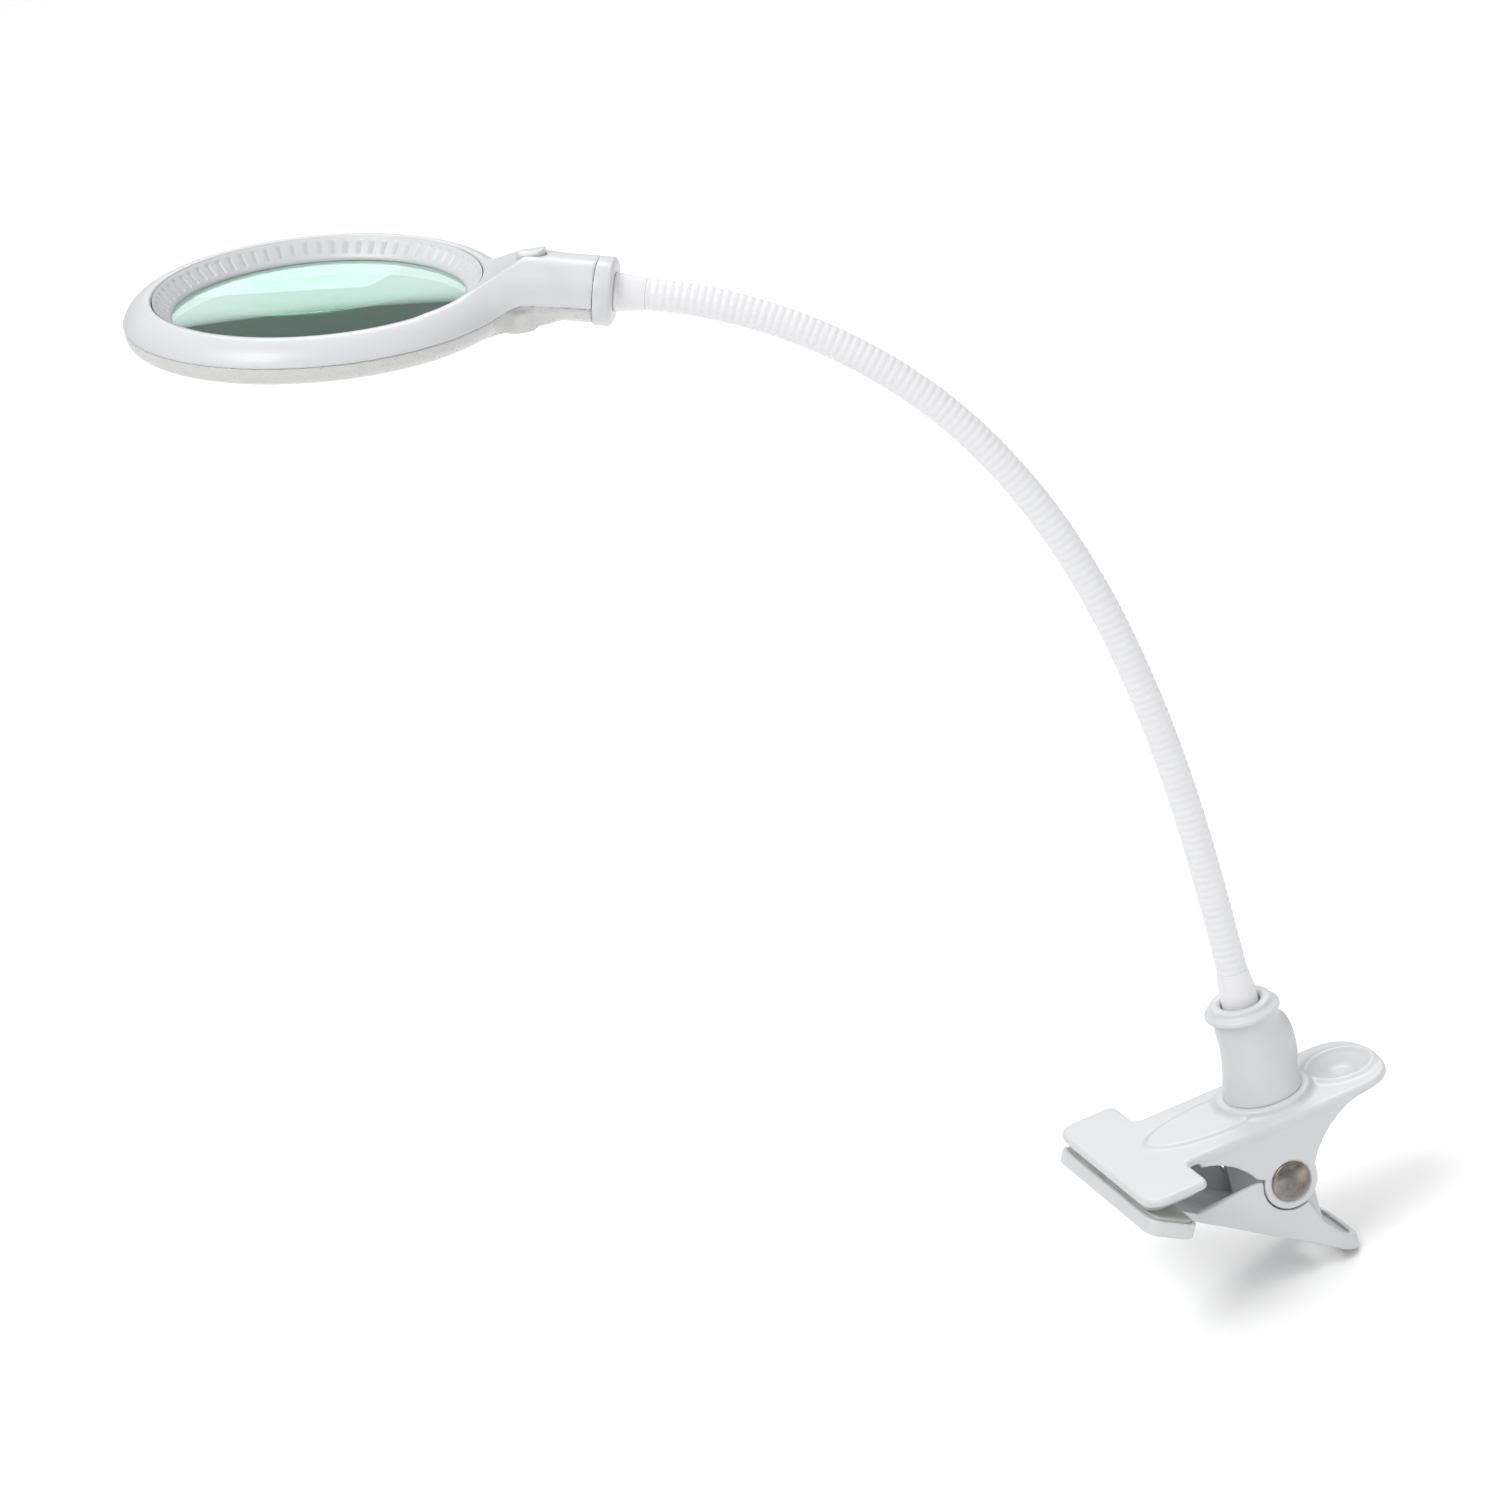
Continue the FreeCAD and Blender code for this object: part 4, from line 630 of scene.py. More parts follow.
def dome_field(radius, h):
    """The ring's domed section carried down past the parting, as a field of radius and height."""
    section = outline([
        (RING_INSIDE, -8.0), (RING_INSIDE, 6.15), (52.5, 6.65), (54.2, 6.6), (61.5, -0.5, -11.0),
        (61.5, -8.0),
    ], 14)
    return outline_distance(section, radius, h)


def web_outline(inset=0.0):
    """Plan of the web between the ring and the handle: sides curve in to meet the handle."""
    reach = np.linspace(0, 1, 15)
    along = 40.0 + 34.0 * reach
    half = 8.5 + 25.5 * (1 - reach) ** 1.65
    side = np.stack([along, half - inset], 1)
    return np.concatenate([side, side[::-1] * (1, -1)])


def bar_field(x, y, z):
    """The handle's flat-sided oval section carried along x and cut by a slope at its nose."""
    return np.maximum(oval_section(y, z, HANDLE_RADIUS), z * 0.85 - (x + 44.0) * 0.53)


def head_solid(x, y, z):
    """Ring, web and handle joined with broad fillets, before the parting is cut."""
    radius = np.hypot(x, y)
    ring = dome_field(radius, z)
    hx, hy, hz = within(HANDLE_IN_HEAD, x, y, z)
    web_top = 5.4 + 3.6 * smooth_step((x - 52) / 22)
    web = prism(outline_distance(web_outline(), x, y), z - (web_top - 12) / 2, (web_top + 12) / 2, 6.5)
    web = np.maximum(web, 52.0 - radius)
    bar = np.maximum(bar_field(hx, hy, hz), hx + COVER_END)
    solid = merge(merge(ring, web, 7.0), bar, 10.0)
    solid = carve(solid, 7.0 + 0.55 * (radius - 52.0) - z, 0.8)
    return np.maximum(np.maximum(solid, RING_INSIDE - radius), hx + COVER_END)


def parting_height(x, hz, z):
    """Height over the parting: level under the ring, then along the handle's own split."""
    share = smooth_step((x - 57.0) / 11.0)
    return (z + 0.5) * (1 - share) + (hz + 2.6) * share


def top_cover_field(x, y, z):
    """Upper housing: the head's solid above the parting, less solid + 1.8 and the button's hole."""
    hx, hy, hz = within(HANDLE_IN_HEAD, x, y, z)
    solid = head_solid(x, y, z)
    above = parting_height(x, hz, z)
    cover = carve(solid, above, 0.5)
    room = np.maximum(solid + 1.8, -above - 3.0)
    cover = carve(cover, room, 0.3)
    hole = rectangle_distance(hx + BUTTON_X, hy, 4.85, 3.45, 3.4)
    hole = np.maximum(hole, 2.0 - hz)
    return carve(cover, hole, 0.5)


def lower_cover_field(x, y, z):
    """Frosted lower housing: ring trough, web, screw bosses and inset handle half below the parting."""
    radius = np.hypot(x, y)
    hx, hy, hz = within(HANDLE_IN_HEAD, x, y, z)
    ring = outline_distance(outline([
        (47.6, -6.7), (47.6, -2.65), (49.2, -2.65), (51.2, -3.4), (52.3, 4.0), (61.1, 4.0),
        (61.1, -2.2), (56.6, -6.7, -4.5),
    ]), radius, z)
    low = -6.7 + 1.6 * smooth_step((x - 67.5) / 7.0)
    web = prism(outline_distance(web_outline(0.4), x, y), z - (4.0 + low) / 2, (4.0 - low) / 2, 0.8)
    bar = np.maximum(oval_section(hy, hz, 9.5), -36.0 - hx)
    bar = np.maximum(bar, hx + COVER_END)
    web = np.maximum(web, 49.0 - radius)
    well = np.hypot(x - 65.0, np.abs(y) - 9.0)
    solid = merge(merge(ring, web, 2.0), bar, 5.0)
    solid = merge(solid, slab(well - 3.9, z, -7.0, -1.0, 0.4), 2.5)
    solid = np.maximum(solid, 47.6 - radius)
    above = parting_height(x, hz, z)
    below = carve(solid, -above - 0.12, 0.3)
    room = np.maximum(solid + 1.9, -above - 12.0)
    room = np.maximum(room, 51.2 - radius)
    lens_seat = slab(radius - 49.2, z, -2.7, 9.0, 0.1)
    sunk = slab(well - 2.3, z, -9.0, -5.2, 0.1)
    return carve(carve(carve(below, room, 0.3), lens_seat, 0.2), sunk, 0.2)


def end_cap_field(x, y, z):
    """Handle end: the flat-sided oval carried along X, its rear edge rounded, with a fine seam line."""
    section = oval_section(y, z, HANDLE_RADIUS)
    block = prism(section, x + 2.8, 2.8, 1.6)
    block = np.maximum(np.minimum(block, np.maximum(section, np.abs(x + 4.2) - 1.4)), -5.62 - x)
    line = np.maximum(np.abs(x + 1.75) - 0.12, -0.14 - section)
    return carve(carve(block, line, 0.15), np.hypot(y, z) - 5.4, 0.2)


def button_field(x, y, z):
    """Button: an oval whose top slopes up to the rear like a thumb catch, domed across."""
    along = x + BUTTON_X
    top = 11.2 + 0.24 * along - 0.03 * y * y + 0.03 * along ** 2
    cap = rectangle_distance(along, y, 4.55, 3.15, 3.1)
    body = prism(cap, z - (top + 6.4) / 2, (top - 6.4) / 2, 0.9)
    return np.minimum(body, slab(rectangle_distance(along, y, 5.4, 4.0, 3.9), z, 6.4, 7.6, 0.3))


# ---- pieces ----


def settle(piece, body, slot, *nodes):
    """Rides a piece on its body and hides the CAD nodes it stands for. The slot is not used."""
    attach(piece, body)
    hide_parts(*nodes)


def rounded_slab(name, half_x, half_y, corner, low, high, edge, material, placed):
    """A pad: rounded rectangle in plan, with level faces and a quarter-round rim.

    One parameter runs round the outline and the other from the lower face's centre over the rim to
    the upper face's centre; the outline shrinks towards a line as the face is crossed.
    """
    count = 96
    turn = np.arange(count) * 2 * math.pi / count
    square = np.stack([np.cos(turn), np.sin(turn)], 1)
    arc = np.linspace(0, math.pi / 2, 5)
    sine, cosine = edge * (1 - np.sin(arc)), edge * (1 - np.cos(arc))
    inset = np.concatenate([[half_x, half_x * 0.5], sine, cosine, [half_x * 0.5, half_x]])
    height = np.concatenate([[low, low], low + cosine, high - sine, [high, high]])
    reach_x, reach_y = half_x - inset, half_y - inset
    radius = np.clip(corner - inset, 0.0, None)
    hug_x = np.sign(square[:, 0])[None] * np.clip(reach_x - radius, 0, None)[:, None]
    hug_y = np.sign(square[:, 1])[None] * np.clip(reach_y - radius, 0, None)[:, None]
    x = hug_x + radius[:, None] * square[:, 0]
    y = hug_y + radius[:, None] * square[:, 1]
    points = np.stack([x, y, np.broadcast_to(height[:, None], x.shape)], -1).reshape(-1, 3)
    return mesh_piece(name, points, grid_faces(len(height), count), material, placed)


def shifted(x=0.0, y=0.0, z=0.0):
    """A placement moved by x, y and z and not turned."""
    placed = np.eye(4)
    placed[:3, 3] = (x, y, z)
    return placed


def laid_along(origin, axis):
    """A placement whose Z runs along an axis."""
    z = unit(axis)
    x = unit(np.cross([0, 1, 0] if abs(z[1]) < 0.9 else [1, 0, 0], z))
    placed = np.eye(4)
    placed[:3, 0], placed[:3, 1], placed[:3, 2], placed[:3, 3] = x, np.cross(z, x), z, origin
    return placed


# Each shell's field, box, grid step, finish, placement, crease angle, body, slot and CAD node.
SHELLS = {
    "upper_shell": (upper_field, (-12.5, -38.5, -28.5), (93, 38.5, 10.5), 0.62, "abs", None, 50.0,
                    "clip_and_post", "housing_white", "clip_upper_shell"),
    "lower_shell": (lower_field, (-15.5, -38.5, -55), (69, 38.5, 1.5), 0.62, "abs", None, 50.0,
                    "lower_jaw", "housing_white", "clip_lower_shell"),
    "post_body": (post_field, (35, -15, 7.5), (65.5, 15, 38), 0.55, "abs", None, 50.0,
                  "clip_and_post", "housing_white", "post"),
    "ring_cover": (top_cover_field, (-63.5, -63.5, -13), (90, 63.5, 16), 0.7, "abs", HEAD, 50.0,
                   "head", "housing_white", "head_top_cover"),
    "ring_diffuser": (lower_cover_field, (-63, -63, -17), (90, 63, 4), 0.62, "frost", HEAD, 80.0,
                      "head", "diffuser_frost", "head_lower_cover"),
    "end_cap": (end_cap_field, (-6.5, -13, -11.5), (1, 13, 11.5), 0.5, "abs", HANDLE, 50.0,
                "head", "housing_white", "handle_end_cap"),
    "switch_button": (button_field, (-33.5, -5.5, 5.5), (-20, 5.5, 13.5), 0.35, "abs", HANDLE, 50.0,
                      "button", "housing_white", "power_button"),
}


def shell(name):
    """Meshes one of SHELLS: the zero level of its field, by skin."""
    field, low, high, step, key, placed, sharp, body, slot, node = SHELLS[name]
    settle(skin(name, field, low, high, step, finish(key), placed, sharp), body, slot, node)


def turned(name, corners, soft, steps, count, key, placed, sharp, body, slot, node):
    """Turns softened (r, h) corners about Z; a profile that starts on the axis closes at poles."""
    profile = softened(corners, soft, steps)
    ring = corners[0][0] > 0
    if not ring:
        profile[0, 0] = profile[-1, 0] = 0.0
    points, faces = lathe(profile, count, wrap=ring)
    settle(mesh_piece(name, points, faces, finish(key), placed, sharp), body, slot, node)


def jaw_pads():
    """Upper pad under the plate, lower pad in the tray; each is a rounded_slab."""
    upper = rounded_slab("upper_pad", 9.5, 33.0, 5.0, 0.0, 2.2, 0.5, finish("silicone"), np.eye(4))
    settle(upper, "clip_and_post", "jaw_pad_grey", "upper_jaw_pad")
    placed = tray_place() @ shifted(9.0)
    lower = rounded_slab("lower_pad", 7.3, 34.8, 3.4, 2.25, 6.0, 0.5, finish("silicone"), placed)
    settle(lower, "lower_jaw", "jaw_pad_grey", "lower_jaw_pad")


def rivet_caps():
    """Two domed heads turned about the pin: a rolled rim, then 0.75 + 1.75 (1 - (1 - t)^2) to a pole."""
    t = np.linspace(0, 1, 14)
    dome = np.stack([6.2 * (1 - t), 0.75 + 1.75 * (1 - (1 - t) ** 2)], 1)
    roll = np.linspace(-0.3, math.pi / 2, 6)
    rim = 6.2 + 0.6 * np.cos(roll), 0.25 + 0.5 * np.sin(roll)
    profile = np.concatenate([[[0, 0], [6.5, 0]], np.stack(rim, 1), dome[1:]])
    points, faces = lathe(profile, 72, wrap=False)
    sides = []
    for side in (-1, 1):
        placed = laid_along((PIVOT[0], side * 18.9, PIVOT[2]), (0, side, 0))
        sides.append(points @ placed[:3, :3].T + placed[:3, 3])
    both = np.concatenate(sides)
    faces = np.concatenate([faces, faces + len(points)])
    piece = mesh_piece("rivet_heads", both, faces, finish("nickel"))
    settle(piece, "clip_and_post", "rivet_nickel", "pivot_caps")


def spring():
    """Torsion spring: a wire carried down a leg, round seven turns of a helix about Y and down a leg.
    """
    half, radius, wire = 7.35, 4.3, 0.8
    t = np.linspace(0, 1, 197)[:, None]
    turn = 14 * math.pi * t
    coil = np.concatenate([
        PIVOT[0] + radius * np.cos(turn), -half + 2 * half * t, PIVOT[2] - radius * np.sin(turn)], 1)
    leg = PIVOT[0] + radius
    run = unit(FLOOR_END - FLOOR_START)
    foot = FLOOR_START[1] + (leg - FLOOR_START[0]) * run[1] / run[0] + (2.76 + wire) / run[0]
    share = np.linspace(0, 1, 12)[:, None]
    upper = (leg, -half, 2.1) + share[:-1] * np.array([0, 0, PIVOT[2] - 2.1])
    lower = (leg, half, PIVOT[2]) + share[1:] * np.array([0, 0, foot - PIVOT[2]])
    path = np.concatenate([upper[:1], upper, coil, lower, lower[-1:]])
    tangent = np.gradient(path, axis=0)
    tangent[0], tangent[-1] = tangent[1], tangent[-2]
    tangent /= np.linalg.norm(tangent, axis=1)[:, None]
    side = np.cross(tangent, (0, 1, 0))
    side /= np.linalg.norm(side, axis=1)[:, None]
    thick = np.full(len(path), wire)
    thick[0] = thick[-1] = 0
    points = tube(path, tangent, side, thick, 12)
    piece = mesh_piece("clip_spring", points, grid_faces(len(path), 12), finish("steel"), sharp=60)
    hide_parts("torsion_spring")
    start, end = (PIVOT[0], -half, PIVOT[2]), (PIVOT[0], half, PIVOT[2])
    start, end = (tuple(np.array(point) * MM) for point in (start, end))
    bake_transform(piece)


def post_fittings():
    """Collar, the neck's closed foot and the power inlet with its blind bore, each turned."""
    turned("post_cap", [
        (6.64, 0.02), (12.46, 0.02), (12.46, 1.3), (11.4, 2.0), (10.5, 2.6), (10.25, 3.9), (9.4, 4.3),
        (7.6, 4.15), (6.64, 3.4),
    ], 0.4, 6, 128, "abs", shifted(POST_X, 0, 37.25), 60,
        "clip_and_post", "housing_white", "post_collar")
    turned("neck_foot", [
        (2.2, 33.0), (7.6, 33.0), (7.6, 34.0), (6.05, 34.2), (6.05, 45.15), (5.15, 52.0), (5.0, 52.65),
        (2.2, 52.65),
    ], 0.5, 5, 72, "pvc", shifted(POST_X), 60, "clip_and_post", "housing_white", "base_ferrule")
    turned("inlet_ring", [
        (0.0, 0), (4.4, 0), (4.4, 10.5), (2.8, 10.5), (2.8, 1.1), (0.0, 1.1),
    ], 0.35, 5, 64, "black", laid_along((53.0, 0, INLET_Z), (1, 0, 0)), 50,
        "clip_and_post", "inlet_black", "dc_jack")


def neck_pieces(pitch, depth):
    """Ribbed sleeve, one piece for each joint, from one mid-length groove to the next.

    The path is the chain of arcs. Round it runs a circle whose radius falls from the rib's crown to
    the groove as depth x |cos(pi x distance / pitch)| to the third power; an inner wall closes it.
    """
    joints = np.array([place_of(name) for name in CHAIN_NAMES])
    radii = SEGMENT / np.radians(-np.diff(CLIMBS))
    ribs = max(int(round(SEGMENT / pitch / 2)) * 2, 2)
    along_all = np.linspace(0, 1, ribs * 8 + 1)
    half, around, stub_length = ribs * 4, 36, 1.48
    for k in range(len(CHAIN_NAMES)):
        runs = []
        if k == 0:
            stub = np.linspace(-stub_length, 0, 5)[:-1]
            runs.append((joints[0] + stub[:, None] * lean(90.0), np.full(4, 90.0), stub))
        if k > 0:
            runs.append(arc_run(joints[k - 1], CLIMBS[k - 1], CLIMBS[k], radii[k - 1], along_all[half:]))
        if k < 8:
            run = arc_run(joints[k], CLIMBS[k], CLIMBS[k + 1], radii[k], along_all[:half + 1])
            runs.append([part[1:] if k else part for part in run])
        else:
            stub = np.linspace(0, stub_length, 5)[1:]
            runs.append((joints[8] + stub[:, None] * lean(18.0), np.full(4, 18.0), stub))
        path, climb, distance = (np.concatenate(part) for part in zip(*runs))
        groove = np.abs(np.cos(math.pi * distance / (SEGMENT / ribs))) ** 3
        radius = NECK_RADIUS - depth * groove
        tangent = lean(climb)
        side = np.broadcast_to(SIDEWAYS, tangent.shape)
        outer = tube(path, tangent, side, radius, around)
        picks = np.arange(len(path) - 1, -1, -4)
        inner = tube(path[picks], tangent[picks], side[picks], np.full(len(picks), 4.0), around)
        points = np.concatenate([outer, inner])
        faces = grid_faces(len(path) + len(picks), around, wrap_rows=True)
        piece = mesh_piece(f"neck_skin_{k + 1}", points, faces, finish("pvc"), sharp=80)
        if k < 8:
            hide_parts(f"neck_sleeve_{k + 1}")
        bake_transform(piece)


def arc_run(start, climb, climb_end, radius, share):
    """Points, climb angles and distances along one arc of the neck, for shares of its length."""
    centre = start + radius * lean(climb - 90)
    angles = climb + (climb_end - climb) * share
    return [centre - radius * lean(angles - 90), angles, SEGMENT * share]


def bezel(ribs, depth):
    """Funnel ring round the lens, with grooves cut into its slope.

    A closed profile is turned about Z. On the slope the height falls by depth x groove x window.
    groove is 1, 0.55, 0.2 at three of each rib's eight columns and 0 at the others; window fades
    it towards both ends of the slope.
    """
    t = np.linspace(0, 1, 22)
    slope = np.stack([46.1 + 5.5 * t, 0.75 + 5.65 * t ** 0.85], 1)
    back = np.array([
        (51.6, 4.6), (49.8, 1.3), (49.8, -2.45), (48.5, -2.45), (48.5, -0.15), (46.1, 0.15)])
    profile = np.concatenate([slope, back])
    count = ribs * 8
    points, faces = lathe(profile, count)
    points = points.reshape(len(profile), count, 3)
    groove = np.array([0.0, 1.0, 0.55, 0.2, 0.0, 0.0, 0.0, 0.0])[np.arange(count) % 8]
    window = smooth_step((t - 0.16) / 0.1) * smooth_step((0.86 - t) / 0.1)
    points[:len(t), :, 2] -= depth * window[:, None] * groove
    piece = mesh_piece("ribbed_bezel", points.reshape(-1, 3), faces, finish("abs"), HEAD, 35)
    settle(piece, "head", "bezel_white", "lens_bezel")


def magnifier():
    """Lens, fuller on top: height over the rim is sag (1 - t^2), t the share of the radius."""
    t = np.linspace(0, 1, 40)
    r = 48.4 * t
    top = np.stack([r, -0.3 + 3.0 * (1 - t * t)], 1)
    under = np.stack([r, -2.5 - 1.4 * (1 - t * t)], 1)[::-1]
    points, faces = lathe(np.concatenate([top, under]), 144, wrap=False)
    piece = mesh_piece("magnifier", points, faces, finish("glass"), HEAD, 60)
    settle(piece, "head", "lens_glass", "lens")


def neck_tip():
    """Neck's head end: flange, then a taper down to the neck, turned about the neck's line."""
    turned("neck_tip", [
        (2.2, -4.0), (5.2, -4.0), (5.2, 0.02), (6.3, 0.02), (6.3, 0.9), (5.9, 1.0), (5.85, 2.2),
        (5.0, 9.9), (2.2, 9.9),
    ], 0.35, 5, 72, "pvc", laid_along(HANDLE[:3, 3], HANDLE[:3, 0]), 60,
        "head", "housing_white", "head_ferrule")


def kept_nodes():
    """Gives every carried-over CAD node the finish of what it is made of."""
    wanted = {
        "pivot_pin": "nickel", "post_screws": "steel", "post_leads": "pvc",
        "led_board": "board", "leds": "phosphor", "power_switch": "black", "driver_board": "board",
        "driver_parts": "black", "head_leads": "pvc", "head_screws": "steel",
    }
    for i in range(1, 9):
        wanted[f"neck_core_{i}"] = "steel"
        wanted[f"neck_leads_{i}"] = "pvc"
    for node, key in wanted.items():
        cad = frame["nodes"][node]
        for slot in cad.material_slots:
            slot.link = "DATA"
            slot.material = finish(key)
        if not cad.material_slots:
            cad.data.materials.append(finish(key))


# ---- stage ----


def paper(name, colour):
    """Matt painted board for the floor: even and pale, so that only soft contact shadows show."""
    material, tree, shader, where = start_finish(name, colour, Roughness=0.7)
    pebbled(tree, shader, where, 0.002, 0.00005, 0.1)
    return material


def soft_box(name, energy, size, at, aim):
    """A square soft light at a place, turned to face another."""
    light = bpy.data.lights.new(name, "AREA")
    light.energy, light.size, light.shape = energy, size, "SQUARE"
    lamp = bpy.data.objects.new(name, light)
    lamp.location = at
    lamp.rotation_euler = Vector(np.subtract(at, aim)).to_track_quat("Z", "Y").to_euler()
    bpy.context.scene.collection.objects.link(lamp)
    return lamp


def stage():
    """Floor, soft lights, pale surroundings and the camera."""
    scene = bpy.context.scene
    ground = min(CAD_BOX[0][2], 0) - 0.0005
    half = 40.0
    floor = bpy.data.meshes.new("floor")
    floor.from_pydata(
        [(-half, -half, ground), (half, -half, ground), (half, half, ground), (-half, half, ground)], [],
        [(0, 1, 2, 3)])
    floor.materials.append(paper("painted_board", scene.lamp_colours.floor))
    board = bpy.data.objects.new("floor", floor)
    scene.collection.objects.link(board)
    world = bpy.data.worlds.new("studio")
    world.use_nodes = True
    tree = world.node_tree
    tree.nodes["Background"].inputs["Color"].default_value = (1, 1, 1, 1)
    around = add(tree, "ShaderNodeTexCoord").outputs["Generated"]
    up = add(tree, "ShaderNodeSeparateXYZ", {"Vector": around})
    glow = add(tree, "ShaderNodeMapRange", {"Value": up.outputs["Z"]})
    glow.inputs["To Min"].default_value, glow.inputs["To Max"].default_value = 0.25, 0.95
    tree.links.new(glow.outputs["Result"], tree.nodes["Background"].inputs["Strength"])
    scene.world = world
    middle = np.array([-0.05, 0.05, 0.15])
    soft_box("key", 62, 1.8, (-1.7, -0.9, 3.2), middle)
    soft_box("fill", 12, 2.0, (2.2, -2.6, 2.2), middle)
    soft_box("rim", 34, 1.6, (1.2, 2.6, 3.0), middle)
    camera = bpy.data.cameras.new("camera")
    camera.lens, camera.sensor_width = 111.6, 36.0
    view = bpy.data.objects.new("camera", camera)
    view.location = (-0.4341095, -1.2863043, 0.6953254)
    view.rotation_euler = Euler([math.radians(a) for a in (68.2938, 15.0403, -21.0812)])
    scene.collection.objects.link(view)
    scene.camera = view
    scene.view_settings.view_transform = "Standard"


# ---- the add-on ----


def colour_property(label, description, code):
    """A colour setting that starts at a hex colour, held as linear light."""
    return bpy.props.FloatVectorProperty(
        name=label, description=description, default=linear(code), size=3, min=0, max=1, subtype="COLOR")


class LampSizes(bpy.types.PropertyGroup):
    """Sizes that change the lamp's finer shapes."""

    rib_pitch: bpy.props.FloatProperty(
        name="Neck rib pitch", description="Distance from one neck rib to the next",
        default=0.0024375, min=0.001, unit="LENGTH", subtype="DISTANCE")
    rib_depth: bpy.props.FloatProperty(
        name="Neck groove depth", description="Depth of the groove between two neck ribs",
        default=0.00022, min=0, max=0.0008, unit="LENGTH", subtype="DISTANCE")
    bezel_ribs: bpy.props.IntProperty(
        name="Bezel ribs", description="Number of ribs round the bezel's slope", default=72, min=12)
    bezel_depth: bpy.props.FloatProperty(
        name="Bezel groove depth", description="Depth of each groove in the bezel's slope",
        default=0.0009, min=0, max=0.001, unit="LENGTH", subtype="DISTANCE")


class LampColours(bpy.types.PropertyGroup):
    """Colours of the lamp's finishes and its floor."""

    housing: colour_property("Housing", "White ABS of the shells", "#D1D2D4")
    sleeve: colour_property("Neck sleeve", "Soft PVC over the gooseneck", "#E4E4E6")
    pad: colour_property("Jaw pads", "Translucent silicone", "#C2C4C0")
    nickel: colour_property("Rivet", "Nickel plating", "#9E978F")
    steel: colour_property("Steel", "Spring, screws and gooseneck coil", "#8C8C8C")
    glass: colour_property("Lens glass", "What a long path through the lens leaves", "#61E1BE")
    cast: colour_property("Lens cast", "Green cast of the lens seen face on", "#DDF5ED")
    frost: colour_property("Diffuser", "Frosted polycarbonate", "#D6D6D5")
    black: colour_property("Inlet", "Black moulded nylon", "#1C1C1E")
    board: colour_property("Circuit board", "White solder mask", "#E6E7E4")
    phosphor: colour_property("LEDs", "Phosphor of the LED packages", "#E9DE9A")
    floor: colour_property("Floor", "Painted board that the lamp stands on", "#FDFDFD")


class LAMP_OT_upper_shell(bpy.types.Operator):
    """Builds the clip's upper shell"""
    bl_idname = "lamp.upper_shell"
    bl_label = "Upper shell"

    def execute(self, context):
        shell("upper_shell")
        return {"FINISHED"}


class LAMP_OT_lower_shell(bpy.types.Operator):
    """Builds the clip's lower shell and jaw tray"""
    bl_idname = "lamp.lower_shell"
    bl_label = "Lower shell"

    def execute(self, context):
        shell("lower_shell")
        return {"FINISHED"}


class LAMP_OT_jaw_pads(bpy.types.Operator):
    """Builds the two jaw pads"""
    bl_idname = "lamp.jaw_pads"
    bl_label = "Jaw pads"

    def execute(self, context):
        jaw_pads()
        return {"FINISHED"}


class LAMP_OT_rivet(bpy.types.Operator):
    """Builds the rivet's domed heads"""
    bl_idname = "lamp.rivet"
    bl_label = "Rivet heads"

    def execute(self, context):
        rivet_caps()
        return {"FINISHED"}


class LAMP_OT_spring(bpy.types.Operator):
    """Builds the clip's torsion spring"""
    bl_idname = "lamp.spring"
    bl_label = "Torsion spring"

    def execute(self, context):
        spring()
        return {"FINISHED"}


class LAMP_OT_post(bpy.types.Operator):
    """Builds the post, its collar, the neck's foot and the power inlet"""
    bl_idname = "lamp.post"
    bl_label = "Post"

    def execute(self, context):
        shell("post_body")
        post_fittings()
        return {"FINISHED"}


class LAMP_OT_neck(bpy.types.Operator):
    """Builds the ribbed neck sleeve, one piece for each joint"""
    bl_idname = "lamp.neck"
    bl_label = "Neck sleeve"

    def execute(self, context):
        sizes = context.scene.lamp_sizes
        neck_pieces(sizes.rib_pitch * 1000, sizes.rib_depth * 1000)
        return {"FINISHED"}


class LAMP_OT_head(bpy.types.Operator):
    """Builds the head's domed cover and frosted diffuser"""
    bl_idname = "lamp.head"
    bl_label = "Head covers"

    def execute(self, context):
        shell("ring_cover")
        shell("ring_diffuser")
        return {"FINISHED"}


class LAMP_OT_lens(bpy.types.Operator):
    """Builds the lens and its ribbed bezel"""
    bl_idname = "lamp.lens"
    bl_label = "Lens and bezel"

    def execute(self, context):
        sizes = context.scene.lamp_sizes
        bezel(sizes.bezel_ribs, sizes.bezel_depth * 1000)
        magnifier()
        return {"FINISHED"}


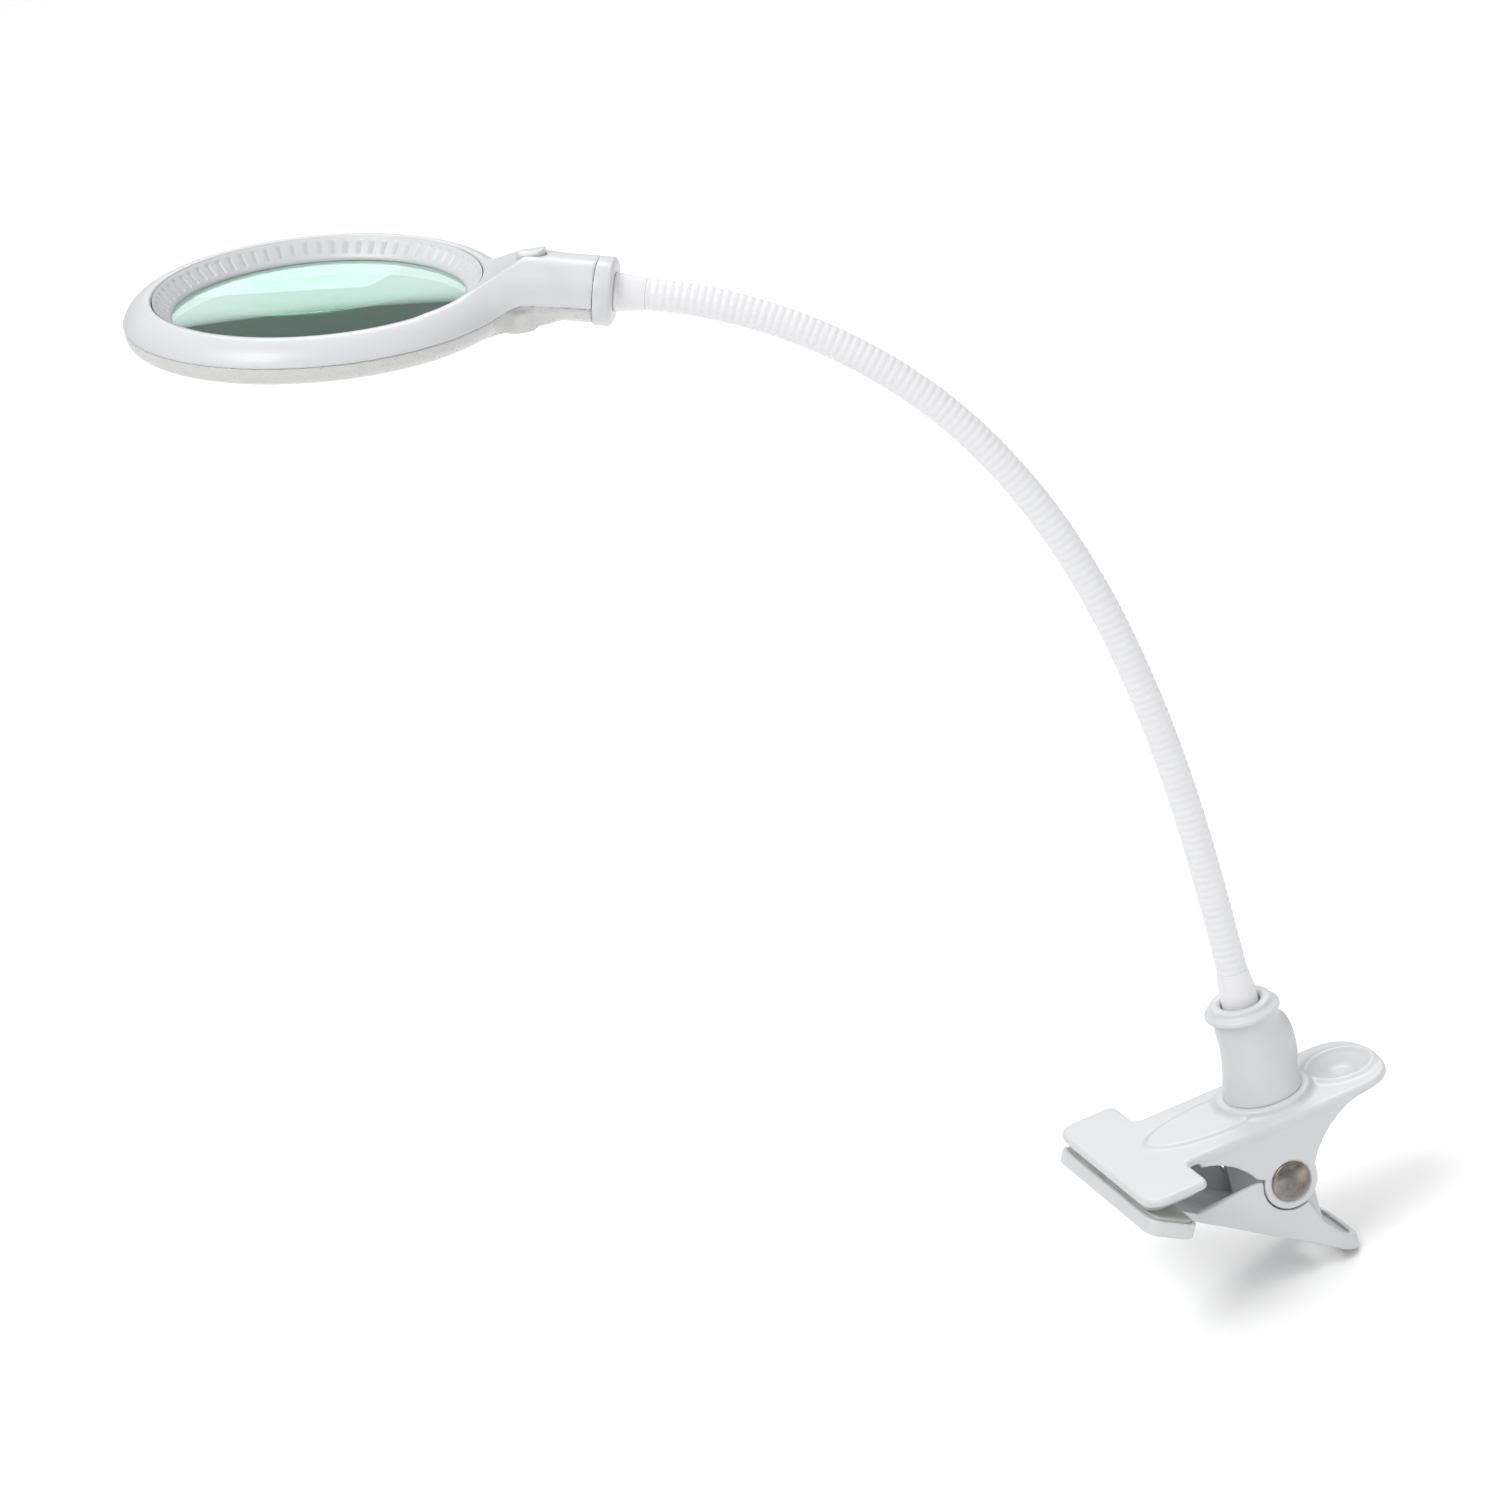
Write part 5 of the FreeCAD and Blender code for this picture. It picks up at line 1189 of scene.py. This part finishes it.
class LAMP_OT_handle_end(bpy.types.Operator):
    """Builds the handle's end cap, the neck's tip and the push-button"""
    bl_idname = "lamp.handle_end"
    bl_label = "Handle end and button"

    def execute(self, context):
        shell("end_cap")
        neck_tip()
        shell("switch_button")
        return {"FINISHED"}


class LAMP_OT_kept(bpy.types.Operator):
    """Gives the carried-over parts their finishes"""
    bl_idname = "lamp.kept"
    bl_label = "Inner parts' finishes"

    def execute(self, context):
        kept_nodes()
        return {"FINISHED"}


class LAMP_OT_stage(bpy.types.Operator):
    """Sets the floor, lights and camera"""
    bl_idname = "lamp.stage"
    bl_label = "Stage"

    def execute(self, context):
        stage()
        return {"FINISHED"}


OPERATORS = (
    LAMP_OT_upper_shell, LAMP_OT_lower_shell, LAMP_OT_jaw_pads, LAMP_OT_rivet, LAMP_OT_spring,
    LAMP_OT_post, LAMP_OT_neck, LAMP_OT_head, LAMP_OT_lens, LAMP_OT_handle_end, LAMP_OT_kept,
    LAMP_OT_stage,
)


class LAMP_PT_panel(bpy.types.Panel):
    """Lists the lamp's pieces in the sidebar"""
    bl_idname = "LAMP_PT_panel"
    bl_label = "Clip-on magnifying lamp"
    bl_space_type = "VIEW_3D"
    bl_region_type = "UI"
    bl_category = "Lamp"

    def draw(self, context):
        layout = self.layout
        for operator in OPERATORS:
            layout.operator(operator.bl_idname)
        for group in (context.scene.lamp_sizes, context.scene.lamp_colours):
            for key in group.__annotations__:
                layout.prop(group, key)


CLASSES = (LampSizes, LampColours, *OPERATORS, LAMP_PT_panel)


def register():
    """Adds the classes and hangs the two groups of settings on the scene."""
    for each in CLASSES:
        bpy.utils.register_class(each)
    bpy.types.Scene.lamp_sizes = bpy.props.PointerProperty(type=LampSizes)
    bpy.types.Scene.lamp_colours = bpy.props.PointerProperty(type=LampColours)


def unregister():
    """Takes back what register added, in reverse."""
    del bpy.types.Scene.lamp_colours
    del bpy.types.Scene.lamp_sizes
    for each in reversed(CLASSES):
        bpy.utils.unregister_class(each)


def main():
    """Registers the add-on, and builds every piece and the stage."""
    register()
    for operator in OPERATORS:
        getattr(bpy.ops.lamp, operator.bl_idname.split(".")[1])()


if __name__ == "__main__":
    main()
